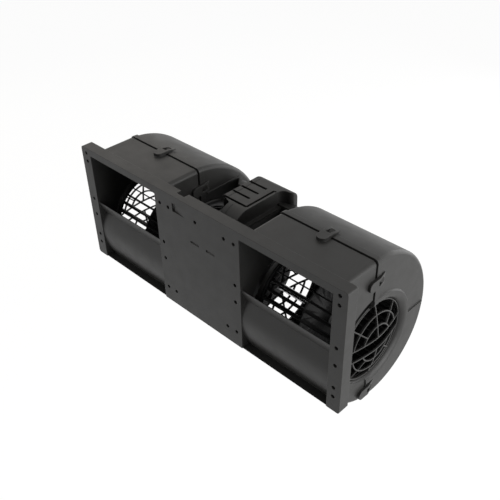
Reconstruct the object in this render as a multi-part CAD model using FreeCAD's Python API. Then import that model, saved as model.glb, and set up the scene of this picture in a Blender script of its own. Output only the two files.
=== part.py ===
"""Cabin blower motor: a double scroll blower with one motor between its two fan wheels.

Frame: origin at the centre of the mounting flange's front face, +X along the flange,
+Y back from the flange into the blower, +Z up. Millimetres throughout.
"""
import FreeCAD, Part
import math
import os

# Mounting flange
FLANGE_WIDTH = 400.0
FLANGE_HEIGHT = 154.8
FLANGE_DEPTH = 14.0
FLANGE_PLATE = 2.6
FLANGE_RIM = 2.4
FLANGE_CORNER = 3.0
HOLE_R = 2.1
HOLE_BOSS_R = 4.4
SIDE_HOLE_INSET = 9.0
INNER_HOLE_X = 57.0
MIDDLE_HOLE_X = 43.0
HOLE_ROW_TOP = 70.5
HOLE_ROW_UPPER = 59.5
HOLE_ROW_MIDDLE = 7.3
HOLE_ROW_LOWER = -15.4
HOLE_ROW_FOOT = -45.4
HOLE_ROW_BOTTOM = -57.6
FINGER_SLOT_LENGTH = 12.5
FINGER_SLOT_WIDTH = 1.6
FINGER_SLOT_Z = 30.5
FINGER_SLOT_XS = (-2.8, 21.2)
RECESS_SIZE = (19.5, 10.0)
RECESS_CENTRE = (-26.2, 62.7)
RECESS_DEPTH = 2.0
TOP_NOTCH_X = -29.0
TOP_NOTCH_WIDTH = 12.0
TOP_NOTCH_DEPTH = 6.5
TOP_NOTCH_DROP = 5.0

# Scroll casings
WALL = 2.2
OUTLET_INNER_X = 65.0
OUTLET_SIDE_MARGIN = 16.7
OUTLET_TOP_MARGIN = 8.8
FLOOR_WEB = 2.0
SCROLL_EDGE_R = 5.0
INNER_CHAMFER = 1.8
BOWL_R = 80.0
BOWL_FRONT = 1.0
BOWL_Z = -37.5
CROWN_FORWARD = 22.38
TONGUE_R = 46.0
TONGUE_Z = -12.5
LIP_Y = 2.2
LIP_Z = 4.2
SPLIT_AHEAD = 8.8
SEAM_GAP = 1.6
LAP_LENGTH = 3.5
LAP_WALL = 1.3
LAP_CLEARANCE = 0.2
RIM_BAND_WIDTH = 7.0
RIM_BAND_HEIGHT = 1.0
SIDE_RIB_WIDTH = 1.6
SIDE_RIB_HEIGHT = 1.2
SIDE_RIB_RISE = 1.6

# Fan axis, inlet rings and guards
AXIS_FORWARD = 10.2
AXIS_RISE = 1.7
THROAT_R = 47.5
RING_OUTER_R = 59.4
RING_RIM = 4.0
RING_HEIGHT = 1.6
RING_DEPTH = 6.0
RING_CUT_INSET = 2.4
GUARD_INSET = 3.0
GUARD_HOOP = 1.4
GUARD_HOOP_DEPTH = 3.0
GUARD_SEAT = 0.1
GUARD_BAR_WIDTH = 1.4
GUARD_BAR_DEPTH = 2.4
GUARD_BULGE = 8.5
GUARD_BULGE_POWER = 1.6
GUARD_GAP = 6.8
GUARD_OUTER_ARC_R = 34.6
GUARD_INNER_ARC_R = 21.6
GUARD_SPOKE_ANGLES = (45.0, 90.0, 135.0)
GUARD_STEPS = 4

# Snap clips across the seam
CLIP_WIDTH = 12.4
CLIP_HEIGHT = 3.6
CLIP_FRONT = 12.0
CLIP_BACK = 15.0
CLIP_WINDOW = (9.0, 6.0)
CLIP_BAR = 2.0
CLIP_TIP = 0.4
CLIP_NOSE_START = 3.0
CLIP_NOSE_DROP = 0.8
CLIP_FOOT_EASE = 0.4
CLIP_CLEARANCE = 0.3
SIDE_CLIP_UPPER_Z = 45.0
SIDE_CLIP_LOWER_RISE = 2.0

# Fan wheels
WHEEL_R = 50.0
WHEEL_END_GAP = 5.0
WHEEL_RING = 2.0
WHEEL_DISC = 2.0
BLADE_COUNT = 28
BLADE_DEPTH = 6.5
BLADE_THICKNESS = 1.0
BLADE_LEAN = 20.0
BLADE_SAG = 0.8
BLADE_TIP_INSET = 0.4
WHEEL_RING_BAND = 3.6
HUB_R = 11.0
HUB_LENGTH = 22.0
WHEEL_CLIP_RIM = 2.6
WHEEL_CLIP_WIDTH = 1.6

# Motor
SHAFT_R = 4.0
SHAFT_OVERHANG = 5.0
SHAFT_CHAMFER = 0.6
SHAFT_HOLE_GAP = 1.5
RUNNING_CLEARANCE = 0.05
MOTOR_R = 36.0
MOTOR_HALF_LENGTH = 38.0
CAN_WALL = 2.0
MAGNET_THICKNESS = 5.5
MAGNET_LENGTH = 50.0
MAGNET_SPAN = 132.0
AIR_GAP = 0.8
CORE_LENGTH = 40.0
CORE_SLOTS = 12
CORE_SLOT_WIDTH = 3.2
CORE_SLOT_DEPTH = 10.0
COIL_HEAD = 7.0
COIL_INSET = 2.0
COIL_BEVEL = 2.45
COMMUTATOR_R = 10.5
COMMUTATOR_LENGTH = 12.0
COMMUTATOR_BARS = 12
COMMUTATOR_X = 21.5
COMMUTATOR_SLOT = (0.6, 1.2)
BRUSH_SIZE = (7.0, 9.0)
BRUSH_LENGTH = 13.0
BRUSH_GAP = 0.1
BRUSH_SLIDE = 0.1
GUIDE_WALL = 1.5
GUIDE_START = 2.0
HOLDER_PLATE = 2.0
HOLDER_RIM_GAP = 2.6
BEARING_R = 8.0
BEARING_WIDTH = 7.0
BEARING_COVER = 1.5
BOSS_R = 12.0
SPIGOT_LENGTH = 3.0
VENT_R = 4.0
VENT_COUNT = 6
RUBBER_THICKNESS = 3.0
RUBBER_WIDTH = 9.0
RUBBER_XS = (-26.0, 14.5)

# Motor bridge, clamp and slotted cover
BRIDGE_WALL = 2.5
DECK_Z = 31.0
DECK_LEFT_X = -31.0
DECK_RIGHT_X = 18.5
DECK_FRONT_Y = 36.0
BEAM_TOP_Z = 35.0
BEAM_FRONT_Y = 113.0
BEAM_BACK_Y = 134.0
BEAM_CORNER_R = 16.0
BEAM_FOOT_Z = -24.0
BEAM_END_GAP = 0.2
BEAM_CUT = (12.0, 14.0)
RAIL_START_Y = 73.0
SADDLE_WIDTH = 7.0
SADDLE_WALL = 6.0
CLAMP_GAP = 1.0
EAR_LENGTH = 12.0
EAR_HEIGHT = 8.0
COVER_TOP_Z = 50.5
COVER_WALL = 2.0
COVER_LEFT_X = -28.5
COVER_RIGHT_X = 12.5
SKIRT_LEFT_X = -13.3
SKIRT_FRONT_Y = 44.0
SKIRT_SHOULDER_Y = 66.0
COVER_CORNER_Y = 67.5
COVER_BACK_Y = 131.0
COVER_BACK_R = 9.0
COVER_CORNER_R = 10.0
WING_RIGHT_X = 26.5
WING_FRONT_Y = 121.0
WING_INNER_R = 8.0
WING_OUTER_R = 5.0
COVER_FOOT_WIDTH = 5.5
COVER_SLOT_YS = (67.4, 82.0, 95.5, 109.0)
COVER_SLOT_LENGTH = 27.5
COVER_SLOT_WIDTH = 3.0
COVER_GROOVE_XS = (-22.0, -6.5)

# Fasteners and terminals
SCREW_R = 1.5
SCREW_HEAD_R = 2.6
SCREW_HEAD = 2.0
TERMINAL_BLOCK = (22.0, 14.4, 14.0)
TERMINAL_BLADE = (6.3, 0.8, 9.0)

OUTLET_OUTER_X = FLANGE_WIDTH / 2 - OUTLET_SIDE_MARGIN
SCROLL_IN = OUTLET_INNER_X - WALL
SCROLL_OUT = OUTLET_OUTER_X + WALL
SCROLL_MID = (SCROLL_IN + SCROLL_OUT) / 2
FLANGE_TOP = FLANGE_HEIGHT / 2
OUTLET_TOP = FLANGE_TOP - OUTLET_TOP_MARGIN
SCROLL_TOP = OUTLET_TOP + WALL
BOWL_Y = BOWL_R + BOWL_FRONT
AXIS_Y = BOWL_Y - AXIS_FORWARD
AXIS_Z = BOWL_Z + AXIS_RISE
SPLIT_Y = AXIS_Y - SPLIT_AHEAD
RING_CREST_R = RING_OUTER_R - RING_RIM
RING_LIP_R = THROAT_R + WALL
GUARD_X = SCROLL_OUT - GUARD_INSET
FAR = FLANGE_WIDTH
CORE_R = MOTOR_R - CAN_WALL - MAGNET_THICKNESS - AIR_GAP
RUBBER_R = MOTOR_R + RUBBER_THICKNESS
MAGNET_X = -6.0
X_AXIS = FreeCAD.Vector(1, 0, 0)
Y_AXIS = FreeCAD.Vector(0, 1, 0)
Z_AXIS = FreeCAD.Vector(0, 0, 1)
AXIS_POINT = FreeCAD.Vector(0, AXIS_Y, AXIS_Z)


def vec(x, y, z):
    return FreeCAD.Vector(x, y, z)


def box(x0, x1, y0, y1, z0, z1):
    return Part.makeBox(x1 - x0, y1 - y0, z1 - z0, vec(x0, y0, z0))


def centred_box(x, y, z, sx, sy, sz):
    return box(x - sx / 2, x + sx / 2, y - sy / 2, y + sy / 2, z - sz / 2, z + sz / 2)


def rod_x(r, x0, x1, y=AXIS_Y, z=AXIS_Z):
    return Part.makeCylinder(r, x1 - x0, vec(x0, y, z), X_AXIS)


def rod_y(r, y0, y1, x, z):
    return Part.makeCylinder(r, y1 - y0, vec(x, y0, z), Y_AXIS)


def tube_x(r_out, r_in, x0, x1):
    return rod_x(r_out, x0, x1).cut(rod_x(r_in, x0 - 1, x1 + 1))


def union(shapes):
    joined = shapes[0].fuse(shapes[1:]) if len(shapes) > 1 else shapes[0]
    return joined.removeSplitter()


def mirrored(shape):
    return shape.mirror(vec(0, 0, 0), X_AXIS)


def turned(shape, degrees):
    copy = shape.copy()
    copy.rotate(AXIS_POINT, X_AXIS, degrees)
    return copy


def revolve_about_axis(points):
    """Solid of revolution about the fan axis from (x, radius) points."""
    corners = [vec(x, AXIS_Y, AXIS_Z + r) for x, r in points]
    face = Part.Face(Part.makePolygon(corners + corners[:1]))
    return face.revolve(AXIS_POINT, X_AXIS, 360)


def side_face(edges):
    """Face in the plane X = 0 from a closed chain of edges."""
    return Part.Face(Part.Wire(Part.__sortEdges__(edges)))


def line(p, q):
    return Part.LineSegment(vec(0, *p), vec(0, *q)).toShape()


def arc(centre, r, a0, a1):
    """Arc in the YZ plane about centre, from angle a0 to a1 through their middle, degrees."""
    pts = [on_circle(centre, r, a) for a in (a0, (a0 + a1) / 2, a1)]
    return Part.Arc(*[vec(0, *p) for p in pts]).toShape()


def on_circle(centre, r, degrees):
    a = math.radians(degrees)
    return centre[0] + r * math.cos(a), centre[1] + r * math.sin(a)


# Outline of the scroll: a flat duct top, a crown arc tangent to it, and a bowl arc
# tangent to the crown. The front of the bowl runs up into the tongue and the lip.

def crown_radius():
    """Radius of the crown arc that touches both the duct's roof and the bowl."""
    rise = SCROLL_TOP - BOWL_Z
    return (BOWL_R ** 2 - CROWN_FORWARD ** 2 - rise ** 2) / (2 * (BOWL_R - rise))


def crown_centre():
    return BOWL_Y - CROWN_FORWARD, SCROLL_TOP - crown_radius()


def crown_end_angle():
    cy, cz = crown_centre()
    return math.degrees(math.atan2(BOWL_Z - cz, BOWL_Y - cy))


def bowl_angle_at(z, inset):
    """Angle, past the bottom of the bowl, where its front half reaches height z."""
    return 180.0 + math.degrees(math.asin((BOWL_Z - z) / (BOWL_R - inset)))


def tongue_centre():
    return BOWL_Y - BOWL_R + TONGUE_R, BOWL_Z


def tongue_points(inset):
    """Where the tongue arc ends and where the lip ends, for the outer or the inner skin."""
    cy, cz = tongue_centre()
    angle = 180.0 - math.degrees(math.asin((TONGUE_Z - cz) / TONGUE_R))
    root = on_circle((cy, cz), TONGUE_R - inset, angle)
    tip = (LIP_Y, LIP_Z - WALL + inset)
    return angle, root, tip


def roof_and_bowl(inset, last_angle):
    """Edges from the duct's roof round the crown and the bowl to an angle on its front."""
    cc = crown_centre()
    turn = crown_end_angle()
    start = (cc[0], SCROLL_TOP - inset)
    return start, [
        arc(cc, crown_radius() - inset, 90.0, turn),
        arc((BOWL_Y, BOWL_Z), BOWL_R - inset, turn, last_angle - 360.0),
    ]


def outer_face(inset=0.0):
    """Whole side of a scroll, with the pocket under the lip filled in."""
    bottom = -FLANGE_TOP + inset
    front = FLANGE_PLATE / 2
    angle = bowl_angle_at(bottom, inset)
    start, edges = roof_and_bowl(inset, angle)
    end = on_circle((BOWL_Y, BOWL_Z), BOWL_R - inset, angle)
    edges += [line(end, (front, bottom)), line((front, bottom), (front, start[1])),
              line((front, start[1]), start)]
    return side_face(edges)


def duct_face(inset=WALL):
    """Air passage: the duct above the tongue and the volute behind it."""
    angle, root, tip = tongue_points(inset)
    mouth = -1.0
    start, edges = roof_and_bowl(inset, 180.0)
    edges += [
        arc(tongue_centre(), TONGUE_R - inset, 180.0, angle),
        line(root, tip),
        line(tip, (mouth, tip[1])),
        line((mouth, tip[1]), (mouth, start[1])),
        line((mouth, start[1]), start),
    ]
    return side_face(edges)


def pocket_face():
    """Open pocket between the flange and the front of the bowl, under the lip."""
    angle, root, tip = tongue_points(0.0)
    mouth = -1.0
    floor = -FLANGE_TOP + FLOOR_WEB
    foot_angle = bowl_angle_at(floor, 0.0)
    foot = on_circle((BOWL_Y, BOWL_Z), BOWL_R, foot_angle)
    edges = [
        line((mouth, floor), foot),
        arc((BOWL_Y, BOWL_Z), BOWL_R, foot_angle, 180.0),
        arc(tongue_centre(), TONGUE_R, 180.0, angle),
        line(root, tip),
        line(tip, (mouth, tip[1])),
        line((mouth, tip[1]), (mouth, floor)),
    ]
    return side_face(edges)


def slab(face, x0, x1):
    copy = face.copy()
    copy.translate(vec(x0, 0, 0))
    return copy.extrude(vec(x1 - x0, 0, 0))


def end_edges(solid, x_ends, radius):
    """The long curved edges of a slab at its two ends, behind the flange."""
    edges = []
    for edge in solid.Edges:
        centre = edge.CenterOfMass
        at_end = any(abs(centre.x - x) < 0.01 and abs(edge.BoundBox.XLength) < 0.01 for x in x_ends)
        if at_end and centre.y > FLANGE_DEPTH + radius and edge.Length > radius:
            edges.append(edge)
    return edges


def scroll_outer(grow=0.0):
    ends = (SCROLL_IN - grow, SCROLL_OUT + grow)
    solid = slab(outer_face(-grow), *ends)
    return solid.makeFillet(SCROLL_EDGE_R, end_edges(solid, ends, SCROLL_EDGE_R))


def scroll_inner(inset=WALL):
    ends = (SCROLL_IN + inset, SCROLL_OUT - inset)
    solid = slab(duct_face(inset), *ends)
    return solid.makeChamfer(INNER_CHAMFER, end_edges(solid, ends, SCROLL_EDGE_R))


def split_box(y0, y1):
    return box(0, FAR, y0, y1, -FAR, FAR)


# Snap clips: a loop on the front housing reaches back over a nose on the rear shell.

def clip_sites():
    """Placement of each clip: local x along the seam, y back across it, z out of the wall."""
    foot_z = BOWL_Z - math.sqrt(BOWL_R ** 2 - (SPLIT_Y - BOWL_Y) ** 2)
    tilt = math.degrees(math.asin((SPLIT_Y - BOWL_Y) / BOWL_R))
    low_z = foot_z + CLIP_WIDTH / 2 + SCROLL_EDGE_R + SIDE_CLIP_LOWER_RISE
    rot = FreeCAD.Rotation
    under = rot(X_AXIS, tilt).multiply(rot(Y_AXIS, 180))
    return [
        FreeCAD.Placement(vec(SCROLL_MID, SPLIT_Y, SCROLL_TOP), rot()),
        FreeCAD.Placement(vec(SCROLL_MID, SPLIT_Y, foot_z), under),
        FreeCAD.Placement(vec(SCROLL_OUT, SPLIT_Y, SIDE_CLIP_UPPER_Z), rot(Y_AXIS, 90)),
        FreeCAD.Placement(vec(SCROLL_OUT, SPLIT_Y, low_z), rot(Y_AXIS, 90)),
        FreeCAD.Placement(vec(SCROLL_IN, SPLIT_Y, SIDE_CLIP_UPPER_Z), rot(Y_AXIS, -90)),
        FreeCAD.Placement(vec(SCROLL_IN, SPLIT_Y, low_z), rot(Y_AXIS, -90)),
    ]


def clip_profile(points, width):
    corners = [vec(-width / 2, y, z) for y, z in points]
    return Part.Face(Part.makePolygon(corners + corners[:1])).extrude(vec(width, 0, 0))


def clip_loop():
    """Rounded foot in front of the seam, then two ramped arms either side of a window."""
    under = CLIP_CLEARANCE
    body = clip_profile([(-CLIP_FRONT, -WALL / 2), (-CLIP_FRONT, CLIP_HEIGHT),
                         (2 * CLIP_BAR, CLIP_HEIGHT), (CLIP_BACK, under + CLIP_TIP), (CLIP_BACK, under),
                         (-SEAM_GAP / 2, under), (-SEAM_GAP / 2, -WALL / 2)], CLIP_WIDTH)
    front = [e for e in body.Edges if abs(e.CenterOfMass.y + CLIP_FRONT) < 0.01
             and abs(e.BoundBox.ZLength) > CLIP_HEIGHT]
    body = body.makeFillet(CLIP_WIDTH / 2 - CLIP_FOOT_EASE, front)
    length, width = CLIP_WINDOW
    window = box(-width / 2, width / 2, CLIP_BAR, CLIP_BAR + length, -WALL, CLIP_HEIGHT + 1)
    tail = box(-width / 2, width / 2, length + 2 * CLIP_BAR, CLIP_BACK + 1, -WALL, CLIP_HEIGHT + 1)
    return body.cut([window, tail])


def clip_nose():
    """Ramped nose on the rear shell that the loop's window drops over."""
    length, width = CLIP_WINDOW
    front = CLIP_BAR + CLIP_CLEARANCE + CLIP_NOSE_START
    back = CLIP_BAR + length - CLIP_CLEARANCE
    return clip_profile([(front, -WALL / 2), (front, CLIP_TIP), (back, CLIP_HEIGHT - CLIP_NOSE_DROP),
                         (back, -WALL / 2)], width - 2 * CLIP_CLEARANCE)


def clip_room():
    """Space cut from the rim band so that the loop lies on the shell."""
    half = CLIP_WIDTH / 2 + CLIP_CLEARANCE
    return box(-half, half, 0.0, CLIP_BACK + 1.0, 0.0, CLIP_HEIGHT + 2)


def at_sites(maker):
    shapes = []
    for site in clip_sites():
        shape = maker()
        shape.Placement = site
        shapes.append(shape)
    return shapes


# Front housing

def flange_holes():
    """Centres (x, z) of the screw holes in the flange."""
    side = FLANGE_WIDTH / 2 - SIDE_HOLE_INSET
    rows_side = (HOLE_ROW_TOP, HOLE_ROW_UPPER, HOLE_ROW_MIDDLE, HOLE_ROW_LOWER, HOLE_ROW_FOOT,
                 HOLE_ROW_BOTTOM)
    rows_inner = (HOLE_ROW_UPPER, HOLE_ROW_MIDDLE, HOLE_ROW_LOWER, HOLE_ROW_BOTTOM)
    rows_middle = (HOLE_ROW_UPPER, HOLE_ROW_BOTTOM)
    places = [(0.0, HOLE_ROW_UPPER)]
    for sign in (-1, 1):
        places += [(sign * side, z) for z in rows_side]
        places += [(sign * INNER_HOLE_X, z) for z in rows_inner]
        places += [(sign * MIDDLE_HOLE_X, z) for z in rows_middle]
    return places


def flange_tray():
    half = FLANGE_WIDTH / 2
    block = box(-half, half, 0, FLANGE_DEPTH, -FLANGE_TOP, FLANGE_TOP)
    corners = [e for e in block.Edges if e.BoundBox.YLength > FLANGE_DEPTH - 0.01]
    block = block.makeFillet(FLANGE_CORNER, corners)
    hollow = box(-half + FLANGE_RIM, half - FLANGE_RIM, FLANGE_PLATE, FLANGE_DEPTH + 1,
                 -FLANGE_TOP + FLANGE_RIM, FLANGE_TOP - FLANGE_RIM)
    tray = block.cut(hollow)
    bosses = [rod_y(HOLE_BOSS_R, FLANGE_PLATE / 2, FLANGE_DEPTH, x, z) for x, z in flange_holes()]
    ribs = [centred_box(0, (FLANGE_PLATE + FLANGE_DEPTH) / 2, z, 2 * SCROLL_IN,
                        FLANGE_DEPTH - FLANGE_PLATE, FLANGE_RIM * 0.7)
            for z in (HOLE_ROW_UPPER, HOLE_ROW_MIDDLE, HOLE_ROW_LOWER, HOLE_ROW_BOTTOM)]
    inside = box(-half + 0.5, half - 0.5, 0, FLANGE_DEPTH, -FLANGE_TOP + 0.5, FLANGE_TOP - 0.5)
    return tray.fuse([b.common(inside) for b in bosses] + ribs)


def ring_cut():
    """Half-round cut-outs in the front housing round the two inlet rings of a scroll."""
    return rod_x(RING_OUTER_R - RING_CUT_INSET, SCROLL_IN - WALL, SCROLL_OUT + WALL)


def front_scroll():
    """The front half of one scroll: duct roof, side walls, front wall, tongue and floor web."""
    body = scroll_outer().common(split_box(-1, SPLIT_Y - SEAM_GAP / 2))
    return body.fuse(at_sites(clip_loop))


def front_passages():
    void = scroll_inner().common(split_box(-2, SPLIT_Y + 1))
    pocket = slab(pocket_face(), OUTLET_INNER_X, OUTLET_OUTER_X)
    mouth = box(OUTLET_INNER_X, OUTLET_OUTER_X, -1, LIP_Y, TONGUE_Z, OUTLET_TOP)
    return [void, pocket, mouth, ring_cut()]


def knife_edge():
    """Chamfer under the floor web's front edge."""
    size = FLOOR_WEB * 0.8
    corners = [(-0.1, -FLANGE_TOP - 0.1), (size, -FLANGE_TOP - 0.1), (-0.1, -FLANGE_TOP + size)]
    return slab(side_face([line(corners[i], corners[(i + 1) % 3]) for i in range(3)]),
                OUTLET_INNER_X, OUTLET_OUTER_X)


def finger_recess():
    """Ramp sunk into the flange's front, deepest at its left end."""
    length, height = RECESS_SIZE
    left = RECESS_CENTRE[0] - length / 2
    corners = [(left, 0.0), (left, RECESS_DEPTH), (left + length, 0.0)]
    base = [vec(x, y, RECESS_CENTRE[1] - height / 2) for x, y in corners]
    return Part.Face(Part.makePolygon(base + base[:1])).extrude(vec(0, 0, height))


def front_housing():
    right = front_scroll()
    body = union([flange_tray(), right, mirrored(right)])
    cuts = front_passages() + [knife_edge()]
    cuts += [mirrored(c) for c in cuts]
    cuts += [rod_y(HOLE_R, -1, FLANGE_DEPTH + 1, x, z) for x, z in flange_holes()]
    cuts += [centred_box(x, 0, FINGER_SLOT_Z, FINGER_SLOT_LENGTH, 4 * FLANGE_PLATE, FINGER_SLOT_WIDTH)
             for x in FINGER_SLOT_XS]
    cuts.append(finger_recess())
    cuts.append(box(TOP_NOTCH_X - TOP_NOTCH_WIDTH / 2, TOP_NOTCH_X + TOP_NOTCH_WIDTH / 2,
                    FLANGE_DEPTH - TOP_NOTCH_DEPTH, FLANGE_DEPTH + 1, FLANGE_TOP - TOP_NOTCH_DROP,
                    FLANGE_TOP + 1))
    return body.cut(cuts)


# Rear shells

def inlet_ring():
    """Bell mouth of the outer inlet: a raised rim, then a funnel down to the throat.

    Ahead of the seam only the thin lip round the throat goes on.
    """
    face = SCROLL_OUT + RING_HEIGHT
    tip = SCROLL_OUT - RING_DEPTH
    steps = 5
    funnel = []
    for i in range(steps + 1):
        a = math.radians(90.0 * i / steps)
        r = RING_CREST_R - (RING_CREST_R - THROAT_R) * math.cos(a)
        funnel.append((tip + (face - tip) * math.sin(a), r))
    profile = funnel + [(face, RING_OUTER_R - RING_HEIGHT), (SCROLL_OUT, RING_OUTER_R),
                        (SCROLL_OUT - WALL, RING_OUTER_R), (SCROLL_OUT - WALL, RING_LIP_R + 1.0),
                        (tip, RING_LIP_R)]
    front = split_box(-FAR, SPLIT_Y + SEAM_GAP / 2)
    return revolve_about_axis(profile).cut(front.cut(rod_x(RING_LIP_R, 0, FAR)))


def flip_scroll(shape):
    """Mirror a shape from the outer side of the right scroll to its inner side."""
    return shape.mirror(vec(SCROLL_MID, 0, 0), X_AXIS)


def rear_shell():
    start = SPLIT_Y + SEAM_GAP / 2
    shell = scroll_outer().common(split_box(start, FAR))
    band = scroll_outer(RIM_BAND_HEIGHT).common(split_box(start, start + RIM_BAND_WIDTH))
    rooms = at_sites(clip_room)
    shell = shell.fuse(band.cut(rooms))
    shell = shell.cut(scroll_inner().common(split_box(start - 1, FAR)))
    lap_outer = scroll_inner(WALL + LAP_CLEARANCE).common(split_box(start - LAP_LENGTH, start))
    lap_root = scroll_inner(WALL / 2).common(split_box(start, start + LAP_LENGTH))
    lap_cut = scroll_inner(WALL + LAP_CLEARANCE + LAP_WALL)
    lap = lap_outer.fuse(lap_root).cut(lap_cut)
    throat = rod_x((THROAT_R + RING_CREST_R) / 2, 0, FAR)
    room = rod_x(RING_OUTER_R + WALL, 0, FAR).common(split_box(-FAR, start))
    body = union([shell, lap.cut(room)] + side_ribs() + at_sites(clip_nose)).cut(throat)
    ring = inlet_ring()
    return union([body, ring, flip_scroll(ring)])


def side_ribs():
    """Thin rib from the outer inlet ring back to the shell's edge, and the inner rail over the beam."""
    back = BOWL_Y + BOWL_R - SCROLL_EDGE_R
    low = AXIS_Z + SIDE_RIB_RISE - SIDE_RIB_WIDTH / 2
    rib = box(SCROLL_OUT - WALL / 2, SCROLL_OUT + SIDE_RIB_HEIGHT, AXIS_Y + RING_OUTER_R - WALL, back,
              low, low + SIDE_RIB_WIDTH)
    rail_end = BEAM_BACK_Y - BEAM_CORNER_R / 2
    rail = box(SCROLL_IN - SIDE_RIB_HEIGHT, SCROLL_IN + WALL / 2, RAIL_START_Y, rail_end,
               BEAM_TOP_Z, BEAM_TOP_Z + SIDE_RIB_WIDTH)
    return [rib, rail]


# Inlet guards

def guard_dome(offset):
    """Solid under the guard's domed surface, moved outwards by offset."""
    x = GUARD_X + offset
    points = [(x - THROAT_R, 0.0), (x - THROAT_R, THROAT_R)]
    for i in range(GUARD_STEPS + 1):
        r = THROAT_R * (1 - i / GUARD_STEPS)
        points.append((x + GUARD_BULGE * (1 - (r / THROAT_R) ** GUARD_BULGE_POWER), r))
    return revolve_about_axis(points)


def guard_bars():
    """The bars as straight prisms and tubes along X, before the dome trims them."""
    reach = THROAT_R - GUARD_SEAT - GUARD_HOOP / 2
    bar = GUARD_BAR_WIDTH
    x0 = GUARD_X - THROAT_R
    x1 = GUARD_X + THROAT_R
    half = []
    for r in (GUARD_OUTER_ARC_R, GUARD_INNER_ARC_R):
        half.append(tube_x(r + bar / 2, r - bar / 2, x0, x1))
    for angle in GUARD_SPOKE_ANGLES:
        from_r = 0.0 if angle == GUARD_SPOKE_ANGLES[1] else GUARD_INNER_ARC_R
        spoke = box(x0, x1, AXIS_Y + from_r, AXIS_Y + reach, AXIS_Z - bar / 2, AXIS_Z + bar / 2)
        half.append(turned(spoke, angle))
    above = box(x0, x1, AXIS_Y - reach, AXIS_Y + reach, AXIS_Z + GUARD_GAP, AXIS_Z + reach)
    chord = math.sqrt(reach ** 2 - GUARD_GAP ** 2)
    straight = box(x0, x1, AXIS_Y - chord, AXIS_Y + chord, AXIS_Z + GUARD_GAP, AXIS_Z + GUARD_GAP + bar)
    upper = [h.common(above) for h in half] + [straight]
    lower = [u.mirror(AXIS_POINT, Z_AXIS) for u in upper]
    return upper + lower


def inlet_guard():
    bars = union(guard_bars())
    skin = guard_dome(0.0).cut(guard_dome(-GUARD_BAR_DEPTH))
    outer = THROAT_R - GUARD_SEAT
    hoop = tube_x(outer, outer - GUARD_HOOP, GUARD_X - GUARD_HOOP_DEPTH, GUARD_X)
    limit = rod_x(outer - GUARD_HOOP / 2, GUARD_X - THROAT_R, GUARD_X + THROAT_R)
    return union([hoop, bars.common(skin).common(limit)])


# Fan wheels

def blade(x0, x1):
    """Forward-curved blade: a thin arc in the YZ plane, concave towards the rotation."""
    inner = WHEEL_R - BLADE_DEPTH
    lean = math.radians(BLADE_LEAN)
    p = on_circle((AXIS_Y, AXIS_Z), inner, 0.0)
    shift = math.degrees(BLADE_DEPTH * math.tan(lean) / WHEEL_R)
    q = on_circle((AXIS_Y, AXIS_Z), WHEEL_R - BLADE_TIP_INSET, shift)
    mid = ((p[0] + q[0]) / 2, (p[1] + q[1]) / 2 - BLADE_SAG)
    t = BLADE_THICKNESS
    lower = Part.Arc(vec(0, *p), vec(0, *mid), vec(0, *q)).toShape()
    upper = Part.Arc(vec(0, p[0], p[1] + t), vec(0, mid[0], mid[1] + t),
                     vec(0, q[0], q[1] + t)).toShape()
    edges = [lower, upper, line(p, (p[0], p[1] + t)), line(q, (q[0], q[1] + t))]
    return slab(side_face(edges), x0, x1)


def fan_wheel():
    """Double-inlet wheel of the right scroll: two end rings, a middle disc and the blades."""
    x0 = SCROLL_IN + WALL + WHEEL_END_GAP
    x1 = SCROLL_OUT - WALL - WHEEL_END_GAP
    first = blade(x0, x1)
    blades = [turned(first, 360.0 * i / BLADE_COUNT) for i in range(BLADE_COUNT)]
    rim = WHEEL_R - WHEEL_RING_BAND
    rings = [tube_x(WHEEL_R, rim, x0, x0 + WHEEL_RING), tube_x(WHEEL_R, rim, x1 - WHEEL_RING, x1)]
    disc = rod_x(WHEEL_R - BLADE_DEPTH / 5, SCROLL_MID - WHEEL_DISC / 2, SCROLL_MID + WHEEL_DISC / 2)
    hub = rod_x(HUB_R, SCROLL_MID - HUB_LENGTH / 2, SCROLL_MID + HUB_LENGTH / 2)
    body = union([disc, hub] + rings + blades)
    return body.cut(rod_x(SHAFT_R, x0, x1))


def wheel_clip():
    """Spring ring that holds the wheel's hub on the shaft."""
    x0 = SCROLL_MID + HUB_LENGTH / 2
    return tube_x(SHAFT_R + WHEEL_CLIP_RIM, SHAFT_R, x0, x0 + WHEEL_CLIP_WIDTH)


# Motor

def motor_can():
    """Deep-drawn can, open at the right, with a bearing boss in its left end."""
    left = -MOTOR_HALF_LENGTH
    nose = left - BEARING_WIDTH - BEARING_COVER
    bore = SHAFT_R + SHAFT_HOLE_GAP
    profile = [(nose, bore), (nose, BOSS_R), (left - CAN_WALL, BOSS_R), (left - CAN_WALL, MOTOR_R),
               (MOTOR_HALF_LENGTH, MOTOR_R), (MOTOR_HALF_LENGTH, MOTOR_R - CAN_WALL),
               (left, MOTOR_R - CAN_WALL), (left, BEARING_R), (left - BEARING_WIDTH, BEARING_R),
               (left - BEARING_WIDTH, bore)]
    return revolve_about_axis(profile)


def end_cap():
    """Right end of the motor: a disc with a spigot in the can and a bearing boss."""
    face = MOTOR_HALF_LENGTH
    nose = face + BEARING_WIDTH + BEARING_COVER
    spigot = MOTOR_R - CAN_WALL
    inside = face - SPIGOT_LENGTH
    bore = SHAFT_R + SHAFT_HOLE_GAP
    profile = [(nose, bore), (nose, BOSS_R), (face + CAN_WALL, BOSS_R), (face + CAN_WALL, MOTOR_R),
               (face, MOTOR_R), (face, spigot), (inside, spigot), (inside, spigot - CAN_WALL),
               (face, spigot - CAN_WALL), (face, BEARING_R), (face + BEARING_WIDTH, BEARING_R),
               (face + BEARING_WIDTH, bore)]
    cap = revolve_about_axis(profile)
    vents = []
    for k in range(VENT_COUNT):
        hole = rod_x(VENT_R, face - 1, face + CAN_WALL + 1, AXIS_Y, AXIS_Z + (BOSS_R + MOTOR_R) / 2)
        vents.append(turned(hole, 360.0 * k / VENT_COUNT))
    return cap.cut(vents)


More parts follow.
